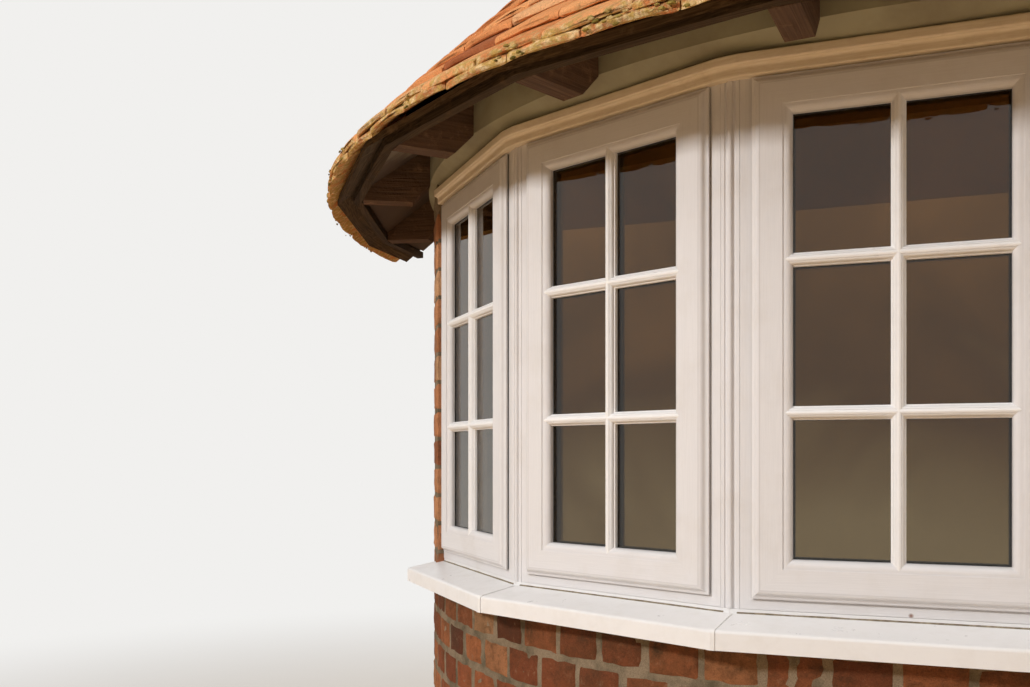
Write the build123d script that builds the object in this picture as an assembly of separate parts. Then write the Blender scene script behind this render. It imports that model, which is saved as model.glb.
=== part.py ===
from build123d import *
import math
import os

os.makedirs("parts", exist_ok=True)

# Half-round bay window: brick base and piers, five sculptured casement lights on a faceted
# front, a moulded head, a rendered frieze and a clay-tiled half cone on ten rafters.
# Millimetres and degrees. X runs along the house wall, Y points into the house, Z is up.
# The origin is on the ground in the middle of the part's bounding box, and the centre light
# faces -Y. "Out" is the distance in front of the frames' face, "inset" the distance in from
# a frame's edge, and angles round the bay are from straight ahead, positive to the right.

# Brickwork, in plan and height
brick_radius = 1345.0
wall_thickness = 215.0
pier_span = 45.0

# Lights
light_names = ["far_left", "left", "centre", "right", "far_right"]
centre_light_width = 538.0
side_light_width = 508.0
light_turn = 24.0
coupler_width = 36.0
frame_setback = 55.0
frame_bottom = 1008.0
frame_height = 983.0
frame_depth = 70.0
seat_gap = 0.3

# Frame and sash sections
frame_face = 21.0
rebate_inset = 27.0
stop_inset = 62.0
stop_depth = 47.0
edge_chamfer = 1.0
sash_side_gap = 2.5
sash_face_gap = 3.5
sash_edge_height = 7.0
sash_proud = 18.0
ogee_width = 16.0
sash_flat = 40.0
bead_groove = 2.0
bead_width = 15.0
bead_nose = 3.0
inner_bead_edge = 4.0
glass_front = -2.0
glass_thickness = 24.0
glass_bite = 10.0

# Posts between the lights
coupler_bead = 5.0
coupler_flute = 6.0
coupler_flute_depth = 2.5

# Cill
cill_depth = 60.0
cill_upstand = 8.0
cill_step = 1.0
cill_out = 95.0
cill_nose_height = 36.0
cill_nose_radius = 7.0
cill_slope_start = 4.0
cill_drip_edge = 8.0
cill_drip_width = 5.0
cill_drip_depth = 4.0
cill_horn = 25.0
cover_start = 9.0
cover_width = 15.0
cover_thickness = 1.6

# Head moulding and frieze
moulding_rise = 19.0
moulding_sash_gap = 1.5
moulding_out = 28.0
moulding_band_out = 17.5
moulding_band_height = 13.0
moulding_cove = 6.5
frieze_splay_setback = 35.0
frieze_splay_rise = 26.0
render_thickness = 13.0
frieze_height = 147.0

# Roof
eave_overhang = 282.0
eave_edge_drop = 19.0
eave_edge_thickness = 28.0
skirt_width = 295.0
skirt_pitch = 38.0
roof_pitch = 45.5
tile_thickness = 50.0
tile_top_radius = 105.0
sarking_thickness = 18.0
sarking_top_radius = 50.0
sarking_setback = 30.0
rafter_count = 10
rafter_step = 18.4
first_rafter_angle = -80.0
rafter_width = 50.0
rafter_foot_drop = 6.0
rafter_foot_out = 47.0
rafter_end_out = 182.0
rafter_bearing_drop = 43.0
fascia_thickness = 22.0
soffit_thickness = 12.0
apex_block_radius = 166.0
apex_block_depth = 160.0
lead_thickness = 3.0
lead_lift = 0.8
flashing_width = 120.0

# Inside
plaster_thickness = 12.0
window_board_thickness = 22.0
window_board_depth = 125.0
window_board_nose = 6.0
board_step_gap = 15.0
ceiling_rise = 49.0

# Heights and distances worked out from the driving dimensions
frame_top = frame_bottom + frame_height
frame_seat = frame_bottom - seat_gap
cill_line = frame_seat - cill_upstand
cill_bed = frame_bottom - cill_depth
board_bottom = frame_seat - window_board_thickness
frieze_top = frame_top + frieze_height
moulding_top = frame_top + moulding_rise
rafter_foot_height = frame_top - rafter_foot_drop
rafter_bearing = frieze_top - rafter_bearing_drop
ceiling_height = frame_top + ceiling_rise
glass_line = frame_face + ogee_width + sash_flat + bead_groove + bead_width
face_distance = brick_radius - frame_setback
wall_inner_radius = brick_radius - wall_thickness
board_step_radius = face_distance - frame_depth - board_step_gap
frieze_splay_radius = brick_radius - frieze_splay_setback
frieze_radius = brick_radius + render_thickness
rafter_foot_radius = frieze_radius + rafter_foot_out
rafter_end_radius = frieze_radius + rafter_end_out
eave_radius = frieze_radius + eave_overhang
roof_break_radius = eave_radius - skirt_width
wall_y = eave_radius / 2
segment_step = 180.0 / len(light_names)
middle = len(light_names) // 2
last = len(light_names) - 1
half_mitre = math.radians(light_turn / 2)
half_rafter_step = math.radians(rafter_step / 2)
sector_reach = cill_out + frame_depth + window_board_depth
tall = 4 * frame_top

# Upright plane on which a section drawn as (out or radius, height) faces straight ahead
ahead = Plane(origin=(0, 0, 0), x_dir=(0, -1, 0), z_dir=(-1, 0, 0))


# Plan of the faceted front

def light_width(index):
    return centre_light_width if index == middle else side_light_width


def heading(angle):
    """Unit vector along a facet that is turned by angle from the centre light."""
    return Vector(math.cos(math.radians(angle)), math.sin(math.radians(angle)))


def light_place(index):
    """Place of a light: the middle of its face, on the ground, X along it and Y inwards."""
    side = 1 if index >= middle else -1
    point = Vector(0, wall_y - face_distance)
    for step in range(abs(index - middle)):
        here = middle + side * step
        point += heading(side * step * light_turn) * (side * light_width(here) / 2)
        point += heading(side * (step + 0.5) * light_turn) * (side * coupler_width)
        point += heading(side * (step + 1) * light_turn) * (side * light_width(here + side) / 2)
    return Location((point.X, point.Y, 0), (0, 0, (index - middle) * light_turn))


def light_end(index, side):
    """Corner of a light's face at its left (-1) or right (1) end."""
    return (light_place(index) * Location((side * light_width(index) / 2, 0, 0))).position


def coupler_place(index):
    """Place of the post between a light and the next one to its right."""
    turn = (index - middle + 0.5) * light_turn
    point = light_end(index, 1) + heading(turn) * (coupler_width / 2)
    return Location((point.X, point.Y, 0), (0, 0, turn))


def around(angle):
    """Place on the bay's upright axis, turned to an angle round the bay."""
    return Location((0, wall_y, 0), (0, 0, angle))


def prism(corners, height=tall):
    return extrude(make_face(Polyline(*corners, close=True)), height)


def light_sector(index, overlap=-seat_gap / 2):
    """Prism over one light, cut at the mitres with its neighbours or at the frame's end."""
    half = light_width(index) / 2
    mitre = half + coupler_width / 2 * math.cos(half_mitre) + overlap
    rise = coupler_width / 2 * math.sin(half_mitre)
    front = mitre + (sector_reach + rise) * math.tan(half_mitre)
    back = mitre - (sector_reach - rise) * math.tan(half_mitre)
    left_front, left_back = (half, half) if index == 0 else (front, back)
    right_front, right_back = (half, half) if index == last else (front, back)
    corners = [(-left_front, -sector_reach), (right_front, -sector_reach),
               (right_back, sector_reach), (-left_back, sector_reach)]
    return light_place(index) * prism(corners)


def beyond_end(side):
    """Block beside the outermost light, from just past its end outwards."""
    edge = side_light_width / 2 + seat_gap
    block = Pos(side * (edge + tall / 2), 0, 0) * Box(tall, tall, tall)
    return light_place(last if side > 0 else 0) * block


def house_side():
    """Everything behind the house wall's face, where the bay is cut off."""
    return Pos(0, wall_y + tall / 2, 0) * Box(tall, tall, 2 * tall)


# Ways to turn a section into a solid

def section_run(section, half_length):
    """Straight length of a section drawn as (out, height), along X."""
    return extrude(ahead * section, half_length, both=True)


def turned_ring(points, start, sweep_angle):
    """Part of a ring round the bay's axis from a section drawn as (radius, height)."""
    ring = revolve(ahead * make_face(Polyline(*points, close=True)), Axis.Z, sweep_angle)
    return around(start) * ring


def half_ring(points):
    return turned_ring(points, -90, 180)


def fifth_ring(points, position):
    """One of five equal parts of a half ring, numbered from the left."""
    return turned_ring(points, -90 + position * segment_step, segment_step)


def drum(radius, bottom, top):
    return Pos(0, wall_y, (bottom + top) / 2) * Cylinder(radius, top - bottom)


def mitred_ring(section, width, height):
    """Four mitred bars round an opening, from a section drawn as (inset, out)."""
    upright = Plane.YZ * (Rot(0, 0, 90) * section)
    ring = None
    for length, reach, turn in ((width, height, 0), (height, width, 90), (width, height, 180), (height, width, 270)):
        bar = extrude(upright, length / 2, both=True)
        triangle = make_face(Polyline((-length / 2, 0), (length / 2, 0), (0, length / 2), close=True))
        bar = bar & extrude(Plane.XZ * triangle, 2 * frame_depth, both=True)
        bar = Rot(0, turn, 0) * (Pos(0, 0, -reach / 2) * bar)
        ring = bar if ring is None else ring + bar
    return Pos(0, 0, frame_bottom + height / 2) * ring


# Lights: a frame with a rebate, a sculptured sash in it, and a sealed glass unit in the sash

def frame_section():
    points = [(0, -frame_depth), (0, -edge_chamfer), (edge_chamfer, 0), (rebate_inset - edge_chamfer, 0),
              (rebate_inset, -edge_chamfer), (rebate_inset, -stop_depth), (stop_inset, -stop_depth),
              (stop_inset, -frame_depth)]
    return make_face(Polyline(*points, close=True))


def sash_section():
    """Ogee outer edge, flat, groove and rounded bead in front, and a rebate for the glass."""
    flat_start = frame_face + ogee_width
    flat_end = flat_start + sash_flat
    bead_start = flat_end + bead_groove
    bead_top = sash_proud - bead_groove
    ogee_middle = (frame_face + ogee_width / 2, (sash_edge_height + sash_proud) / 2)
    back = seat_gap - stop_depth
    body = rebate_inset + sash_side_gap
    seat = glass_line - glass_bite
    glass_back = glass_front - glass_thickness
    edges = [
        Line((frame_face, sash_face_gap), (frame_face, sash_edge_height)),
        TangentArc((frame_face, sash_edge_height), ogee_middle, tangent=(1, 0)),
        TangentArc((flat_start, sash_proud), ogee_middle, tangent=(-1, 0)),
        Polyline((flat_start, sash_proud), (flat_end, sash_proud), (flat_end, bead_top), (bead_start, bead_top)),
        TangentArc((bead_start, bead_top), (glass_line, bead_nose), tangent=(1, 0.1)),
        Polyline((glass_line, bead_nose), (glass_line, glass_front), (seat, glass_front),
                 (seat, glass_back), (glass_line, glass_back), (glass_line, glass_back - inner_bead_edge),
                 (seat, back), (body, back), (body, sash_face_gap), (frame_face, sash_face_gap)),
    ]
    return make_face(edges)


def glass_unit(width):
    inset = glass_line - glass_bite + seat_gap
    unit = Box(width - 2 * inset, glass_thickness - 2 * seat_gap, frame_height - 2 * inset)
    return Pos(0, glass_thickness / 2 - glass_front, frame_bottom + frame_height / 2) * unit


# Posts: a wedge that fills the turn, with a bead between two flutes below the head moulding

def moulding_low():
    """Height of the head moulding's lower edge, just clear of the sashes."""
    return frame_top - frame_face + moulding_sash_gap


def coupler():
    half = coupler_width / 2 - seat_gap
    back = half - frame_depth * math.tan(half_mitre)
    bead, outer = coupler_bead, coupler_bead + coupler_flute
    trough = coupler_bead + coupler_flute / 2
    wedge = [(outer, 0), (half, 0), (back, frame_depth), (-back, frame_depth), (-half, 0), (-outer, 0)]
    edges = [
        ThreePointArc((-outer, 0), (-trough, coupler_flute_depth), (-bead, 0)),
        ThreePointArc((-bead, 0), (0, -bead), (bead, 0)),
        ThreePointArc((bead, 0), (trough, coupler_flute_depth), (outer, 0)),
        Polyline(*wedge),
    ]
    beaded_height = moulding_low() - seat_gap - frame_bottom
    post = extrude(make_face(edges), beaded_height)
    post += Pos(0, 0, beaded_height) * prism(wedge, frame_height - beaded_height)
    return Pos(0, 0, frame_bottom) * post


def couplers():
    return Compound(children=[coupler_place(index) * coupler() for index in range(last)])


# Cill: mitred boards with an upstand for the frames, a sloping top, a rounded nose and a drip

def cill_top(out):
    """Height of the cill's sloping top at a distance in front of the frames."""
    fall = cill_line - cill_bed - cill_nose_height
    run = cill_out - cill_nose_radius - cill_slope_start
    return cill_line - fall * (out - cill_slope_start) / run


def cill_front(start, lift):
    """Line of the sloping top and the nose, lifted off it by lift, from start to the bottom."""
    shoulder = cill_out - cill_nose_radius
    nose_top = cill_bed + cill_nose_height
    nose_centre = nose_top - cill_nose_radius
    corner = (cill_nose_radius + lift) * math.sqrt(0.5)
    return [
        Line((start, cill_top(start) + lift), (shoulder, nose_top + lift)),
        ThreePointArc((shoulder, nose_top + lift), (shoulder + corner, nose_centre + corner),
                      (cill_out + lift, nose_centre)),
        Line((cill_out + lift, nose_centre), (cill_out + lift, cill_bed)),
    ]


def cill_section():
    drip_front = cill_out - cill_drip_edge
    drip_back = drip_front - cill_drip_width
    drip_top = cill_bed + cill_drip_depth
    rest = Polyline((cill_out, cill_bed), (drip_front, cill_bed), (drip_front, drip_top),
                    (drip_back, drip_top), (drip_back, cill_bed), (-frame_depth, cill_bed),
                    (-frame_depth, frame_seat), (-cill_step, frame_seat), (-cill_step, cill_line),
                    (cill_slope_start, cill_line))
    return make_face(cill_front(cill_slope_start, 0) + [rest])


def cover_section():
    """Thin strip that follows the cill's top and nose."""
    low, high = seat_gap, seat_gap + cover_thickness
    ends = [Line((cover_start, cill_top(cover_start) + low), (cover_start, cill_top(cover_start) + high)),
            Line((cill_out + low, cill_bed), (cill_out + high, cill_bed))]
    return make_face(cill_front(cover_start, low) + cill_front(cover_start, high) + ends)


def cill_board(index):
    """One board, and on an outermost one the horn that runs past the brick in front."""
    run = light_place(index) * section_run(cill_section(), side_light_width)
    board = run & light_sector(index)
    if index in (0, last):
        side = -1 if index == 0 else 1
        end = Pos(side * (side_light_width + cill_horn) / 2, 0, 0) * Box(cill_horn, tall, tall)
        board += (run & (light_place(index) * end)) - drum(brick_radius + seat_gap, 0, tall)
    return board


def cill():
    return Compound(children=[cill_board(index) for index in range(last + 1)])


def cill_joint_cover(index):
    """Thin folded cover over the mitre between a board and the next one to its right."""
    band = coupler_place(index) * Box(cover_width, tall, tall)
    halves = []
    for side in (index, index + 1):
        run = light_place(side) * section_run(cover_section(), side_light_width)
        halves.append(run & band & light_sector(side, 0))
    return halves[0] + halves[1]


def cill_joint_covers():
    return Compound(children=[cill_joint_cover(index) for index in range(last)])


# Brickwork

def base_wall(position):
    """One fifth of the half-round base, stepped up inside to carry the window board."""
    bed = cill_bed - seat_gap
    step = board_bottom - seat_gap
    points = [(wall_inner_radius, 0), (brick_radius, 0), (brick_radius, bed), (board_step_radius, bed),
              (board_step_radius, step), (wall_inner_radius, step)]
    return fifth_ring(points, position)


def splay_height(radius):
    """Height just under the frieze's splayed lower edge."""
    share = (radius - frieze_splay_radius) / (frieze_radius - frieze_splay_radius)
    return moulding_top + frieze_splay_rise * share


def pier(side):
    """Brick beside the outermost light, up to the frieze and its splayed lower edge."""
    step_face = board_step_radius + seat_gap
    points = [(step_face, cill_bed), (brick_radius, cill_bed), (brick_radius, splay_height(brick_radius)),
              (frieze_splay_radius, moulding_top), (wall_inner_radius, moulding_top),
              (wall_inner_radius, board_bottom), (step_face, board_bottom)]
    ring = turned_ring(points, 90 - pier_span if side > 0 else -90, pier_span)
    return ring & beyond_end(side)


def frieze(position):
    """One fifth of the rendered ring on the head moulding and piers, with pockets for the rafters."""
    bottom = moulding_top + seat_gap
    points = [(wall_inner_radius, bottom), (frieze_splay_radius, bottom),
              (frieze_radius, splay_height(frieze_radius) + seat_gap), (frieze_radius, frieze_top),
              (wall_inner_radius, frieze_top)]
    clear_rise = frieze_top + 2 * seat_gap - rafter_foot_height
    pocket_end = rafter_foot_radius - clear_rise / math.tan(math.radians(roof_pitch))
    return fifth_ring(points, position) - radial_slots(rafter_width + 2 * seat_gap, rafter_bearing, pocket_end)


# Head moulding: a lower band, a cove and a rounded crown, folded round every post

def moulding_section():
    low = moulding_low()
    top = moulding_top
    ledge = frame_top + 2 * seat_gap
    nose = moulding_out - moulding_band_out - moulding_cove
    band_top = low + moulding_band_height
    crown = band_top + moulding_cove
    edges = [
        Line((seat_gap, low), (moulding_band_out - nose, low)),
        TangentArc((moulding_band_out - nose, low), (moulding_band_out, low + nose), tangent=(1, 0)),
        Line((moulding_band_out, low + nose), (moulding_band_out, band_top)),
        TangentArc((moulding_band_out, band_top), (moulding_out - nose, crown), tangent=(0, 1)),
        TangentArc((moulding_out - nose, crown), (moulding_out, crown + nose), tangent=(1, 0)),
        Line((moulding_out, crown + nose), (moulding_out, top - nose)),
        TangentArc((moulding_out, top - nose), (moulding_out - nose, top), tangent=(0, 1)),
        Polyline((moulding_out - nose, top), (-frame_depth, top), (-frame_depth, ledge),
                 (seat_gap, ledge), (seat_gap, low)),
    ]
    return make_face(edges)


def moulding_piece(start, end, mitre_left, mitre_right):
    """Length of moulding on the line from one corner to the next, mitred to its neighbours."""
    along = end - start
    half = along.length / 2
    depth = 2 * frame_depth
    flare = depth * math.tan(half_mitre / 2)
    left = flare if mitre_left else 0.0
    right = flare if mitre_right else 0.0
    corners = [(-half - left, -depth), (half + right, -depth), (half - right, depth), (-half + left, depth)]
    run = section_run(moulding_section(), half + depth) & prism(corners)
    centre = (start + end) * 0.5
    angle = math.degrees(math.atan2(along.Y, along.X))
    return Location((centre.X, centre.Y, 0), (0, 0, angle)) * run


def head_moulding():
    corners = [light_end(index, side) for index in range(last + 1) for side in (-1, 1)]
    pieces = len(corners) - 1
    moulding = None
    for number in range(pieces):
        piece = moulding_piece(corners[number], corners[number + 1], number > 0, number < pieces - 1)
        moulding = piece if moulding is None else moulding + piece
    return moulding


# Roof faces, as heights over a radius

def tile_top(radius):
    """Height of the tiles' outer face, flatter on the skirt at the eaves."""
    eave_top = frame_top - eave_edge_drop + eave_edge_thickness
    skirt_rise = (eave_radius - max(radius, roof_break_radius)) * math.tan(math.radians(skirt_pitch))
    roof_rise = max(0.0, roof_break_radius - radius) * math.tan(math.radians(roof_pitch))
    return eave_top + skirt_rise + roof_rise


def tile_underside(radius):
    """Height of the tiles' lower face, which comes closer to the outer face at the eaves."""
    share = max(0.0, radius - roof_break_radius) / skirt_width
    return tile_top(radius) - tile_thickness + (tile_thickness - eave_edge_thickness) * share


def roof_line(face, inner, outer, shift=0.0):
    return [(radius, face(radius) + shift) for radius in (inner, roof_break_radius, outer)]


def roof_tiles(position):
    """One fifth of the tile covering, with the flatter skirt at the eaves."""
    outer_face = roof_line(tile_top, tile_top_radius, eave_radius)
    lower_face = roof_line(tile_underside, tile_top_radius, eave_radius)
    return fifth_ring(outer_face + lower_face[::-1], position)


def under_roof(radius):
    """Height just under the sarking, over a radius at a corner between its flat sides."""
    return tile_underside(radius) - sarking_thickness - seat_gap


def lead_flashing():
    """Lead dressed over the tiles along the house wall and over the apex."""
    lower = roof_line(tile_top, 0, eave_radius, lead_lift)
    upper = roof_line(tile_top, 0, eave_radius, lead_lift + lead_thickness)
    strip = Pos(0, wall_y - flashing_width / 2, 0) * Box(3 * eave_radius, flashing_width, 2 * tall)
    return half_ring(lower + upper[::-1]) & strip


# Rafters and what they meet

def rafter_angle(number):
    return first_rafter_angle + rafter_step * number


def between_rafters(section):
    """Straight runs of a section from rafter to rafter, mitred there and cut at the wall."""
    side = 2 * eave_radius * math.sin(half_rafter_step)
    front = 2 * eave_radius * math.cos(half_rafter_step)
    run = section_run(section, side) & prism([(0, 0), (-side, -front), (side, -front)])
    return [around(rafter_angle(number - 0.5)) * run - house_side() for number in range(rafter_count + 1)]


def sarking():
    """Boarding under the tiles, flat from rafter to rafter and short of the eaves edge."""
    edge = eave_radius - sarking_setback
    points = (roof_line(tile_underside, sarking_top_radius, edge, -seat_gap)
              + roof_line(tile_underside, sarking_top_radius, edge, -sarking_thickness)[::-1])
    flat = [(radius * math.cos(half_rafter_step), height) for radius, height in points]
    panels = between_rafters(make_face(Polyline(*flat, close=True)))
    return panels[0] + panels[1:]


def rafter(number):
    """Rafter with a level-cut foot, notched into the frieze's pocket and cut off at the house wall."""
    head = apex_block_radius + seat_gap
    slope = math.tan(math.radians(roof_pitch))
    edge_shift = rafter_width / 2 * math.tan(half_rafter_step)
    top = [(radius, under_roof(radius + edge_shift))
           for radius in (head, roof_break_radius - edge_shift, rafter_end_radius)]
    bottom = [(rafter_end_radius, rafter_foot_height), (rafter_foot_radius, rafter_foot_height),
              (head, rafter_foot_height + (rafter_foot_radius - head) * slope)]
    notch_width = frieze_radius - wall_inner_radius + 2 * seat_gap
    notch = Rectangle(notch_width, tall, align=(Align.MIN, Align.MAX))
    outline = make_face(Polyline(*top, *bottom, close=True))
    outline -= Pos(wall_inner_radius - seat_gap, rafter_bearing + seat_gap) * notch
    board = extrude(ahead * outline, rafter_width / 2, both=True)
    return around(rafter_angle(number)) * board - house_side()


def rafters(numbers):
    return Compound(children=[rafter(number) for number in numbers])


def apex_block():
    """Many-sided block with a flat side for each rafter's head, cut off at the house wall."""
    corner = apex_block_radius / math.cos(half_rafter_step)
    top = under_roof(corner / math.cos(half_rafter_step))
    angles = [math.radians(rafter_angle(number - 0.5)) for number in range(rafter_count + 2)]
    corners = [(corner * math.sin(angle), wall_y - corner * math.cos(angle)) for angle in angles]
    return Pos(0, 0, top - apex_block_depth) * prism(corners, apex_block_depth) - house_side()


def fascia_back():
    """Distance from the bay's axis to the fascia boards' backs, just clear of the rafters."""
    clear = rafter_end_radius + rafter_width / 2 * math.tan(half_rafter_step) + seat_gap
    return clear * math.cos(half_rafter_step)


def radial_slots(width, bottom=-tall, start=0.0):
    """Upright slots along the rafters, from a height upwards and from a radius outwards."""
    slot = Pos(0, -start - eave_radius, bottom + tall) * Box(width, 2 * eave_radius, 2 * tall)
    return [around(rafter_angle(number)) * slot for number in range(rafter_count)]


def fascia_boards():
    """Straight boards across the rafters' ends, a saw cut apart at the corners."""
    back = fascia_back()
    front = back + fascia_thickness
    top = under_roof(front / math.cos(half_rafter_step))
    points = [(back, rafter_foot_height), (front, rafter_foot_height), (front, top), (back, top)]
    boards = between_rafters(make_face(Polyline(*points, close=True)))
    return Compound(children=[board - radial_slots(seat_gap) for board in boards])


def soffit_panels():
    """Render on boards between the rafters, under the sarking from the frieze to the fascia."""
    outer = (fascia_back() - seat_gap) / math.cos(half_rafter_step)
    line = [(radius * math.cos(half_rafter_step), under_roof(radius)) for radius in (frieze_radius, outer)]
    points = line + [(radius, height - soffit_thickness) for radius, height in line[::-1]]
    panels = between_rafters(make_face(Polyline(*points, close=True)))
    cuts = radial_slots(rafter_width + 2 * seat_gap) + [drum(frieze_radius + seat_gap, 0, tall)]
    return Compound(children=[panel - cuts for panel in panels])


# Inside

def window_board():
    """Five mitred boards on the inner step of the wall."""
    back = -frame_depth - seat_gap
    nose = -frame_depth - window_board_depth
    points = [(back, board_bottom), (back, frame_seat), (nose + window_board_nose, frame_seat),
              (nose, frame_seat - window_board_nose), (nose, board_bottom)]
    run = section_run(make_face(Polyline(*points, close=True)), side_light_width)
    return Compound(children=[(light_place(index) * run) & light_sector(index) for index in range(last + 1)])


def ceiling():
    """Flat lining over the bay's inside."""
    edge = wall_inner_radius - seat_gap
    top = ceiling_height + plaster_thickness
    return half_ring([(0, ceiling_height), (edge, ceiling_height), (edge, top), (0, top)])


def inner_plaster():
    """Skin on the inner face of the base and of the two piers."""
    outer = wall_inner_radius - seat_gap
    inner = outer - plaster_thickness
    low_top = board_bottom - seat_gap
    high_top = ceiling_height - seat_gap
    skins = [half_ring([(inner, 0), (outer, 0), (outer, low_top), (inner, low_top)])]
    for side in (-1, 1):
        points = [(inner, board_bottom), (outer, board_bottom), (outer, high_top), (inner, high_top)]
        ring = turned_ring(points, 90 - pier_span if side > 0 else -90, pier_span)
        skins.append(ring & beyond_end(side))
    return Compound(children=skins)


# All the nodes

def build_lights(nodes):
    shapes = {}
    for width in (centre_light_width, side_light_width):
        shapes[width] = (mitred_ring(frame_section(), width, frame_height),
                         mitred_ring(sash_section(), width, frame_height), glass_unit(width))
    glass = []
    for index, name in enumerate(light_names):
        frame, sash, unit = shapes[light_width(index)]
        nodes[f"frame_{name}"] = light_place(index) * frame
        nodes[f"sash_{name}"] = light_place(index) * sash
        glass.append(light_place(index) * unit)
    nodes["glass_units"] = Compound(children=glass)


def build_nodes():
    nodes = {}
    build_lights(nodes)
    for position, name in enumerate(light_names):
        nodes[f"base_wall_{name}"] = base_wall(position)
        nodes[f"frieze_{name}"] = frieze(position)
        nodes[f"roof_tiles_{name}"] = roof_tiles(position)
    nodes["couplers"] = couplers()
    nodes["cill"] = cill()
    nodes["cill_joint_covers"] = cill_joint_covers()
    nodes["pier_left"] = pier(-1)
    nodes["pier_right"] = pier(1)
    nodes["head_moulding"] = head_moulding()
    nodes["rafters_left"] = rafters(range(rafter_count // 2))
    nodes["rafters_right"] = rafters(range(rafter_count // 2, rafter_count))
    nodes["apex_block"] = apex_block()
    nodes["fascia_boards"] = fascia_boards()
    nodes["soffit_panels"] = soffit_panels()
    nodes["sarking"] = sarking()
    nodes["lead_flashing"] = lead_flashing()
    nodes["window_board"] = window_board()
    nodes["ceiling"] = ceiling()
    nodes["inner_plaster"] = inner_plaster()
    return nodes


for name, shape in build_nodes().items():
    shape.label = name
    export_step(shape, f"parts/{name}.step")
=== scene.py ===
"""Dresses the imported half-round bay window: brick, tile, window plastic, glass, plaster and wood."""
import logging
import math
import random
from dataclasses import dataclass, field
from enum import Enum
from typing import Callable, Sequence

import bmesh
import bpy
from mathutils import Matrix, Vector, noise


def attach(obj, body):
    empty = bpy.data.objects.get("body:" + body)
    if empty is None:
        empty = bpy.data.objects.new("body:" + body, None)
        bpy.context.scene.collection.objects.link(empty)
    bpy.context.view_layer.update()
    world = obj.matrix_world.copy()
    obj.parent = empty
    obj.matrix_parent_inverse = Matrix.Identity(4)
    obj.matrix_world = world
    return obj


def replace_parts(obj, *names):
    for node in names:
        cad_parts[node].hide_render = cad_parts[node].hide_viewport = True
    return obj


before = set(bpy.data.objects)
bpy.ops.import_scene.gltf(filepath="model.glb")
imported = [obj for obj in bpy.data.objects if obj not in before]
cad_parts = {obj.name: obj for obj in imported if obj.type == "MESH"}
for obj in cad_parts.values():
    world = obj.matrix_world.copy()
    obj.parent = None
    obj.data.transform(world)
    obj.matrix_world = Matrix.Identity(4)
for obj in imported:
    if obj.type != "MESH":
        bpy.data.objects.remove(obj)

LOG = logging.getLogger("bay_window")
Colour = tuple[float, float, float, float]
Place = tuple[float, float, float]
Pair = tuple[float, float]
Loop = list[Vector]
Material = bpy.types.Material
Socket = bpy.types.NodeSocket
LIGHT_NAMES = ("far_left", "left", "centre", "right", "far_right")
UP = Vector((0.0, 0.0, 1.0))
PVC_INDEX = 1.53


# Small tools

def srgb(code: str) -> Colour:
    """Turns an sRGB colour into the linear values that a shader takes.

    Args:
        code: Six hex digits.

    Returns:
        Red, green, blue and an alpha of 1.
    """
    channels = [int(code[place:place + 2], 16) / 255 for place in (0, 2, 4)]
    linear = [value / 12.92 if value <= 0.04045 else ((value + 0.055) / 1.055) ** 2.4 for value in channels]
    return linear[0], linear[1], linear[2], 1.0


def ripple(x: float, y: float, z: float, size: float) -> float:
    """Smooth unevenness between -1 and 1 whose waves are about size long."""
    return noise.noise(Vector((x, y, z)) / size)


def shared(value: float) -> float:
    """Holds a value between 0 and 1."""
    return min(1.0, max(0.0, value))


def fade(value: float, reach: float) -> float:
    """1 at nothing, down to 0 at the reach and beyond."""
    return max(0.0, 1 - value / reach)


def spread(end: float, steps: int) -> list[float]:
    """Evenly spaced values from -end to end."""
    return [end * (2 * step / steps - 1) for step in range(steps + 1)]


def heading(turn: float) -> tuple[Vector, Vector]:
    """Works out the level directions of a face.

    Args:
        turn: The face's turn from straight ahead, in degrees.

    Returns:
        The direction along the face, to the right, and the one out of it.
    """
    sine, cosine = math.sin(math.radians(turn)), math.cos(math.radians(turn))
    return Vector((cosine, sine, 0.0)), Vector((sine, -cosine, 0.0))


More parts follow.
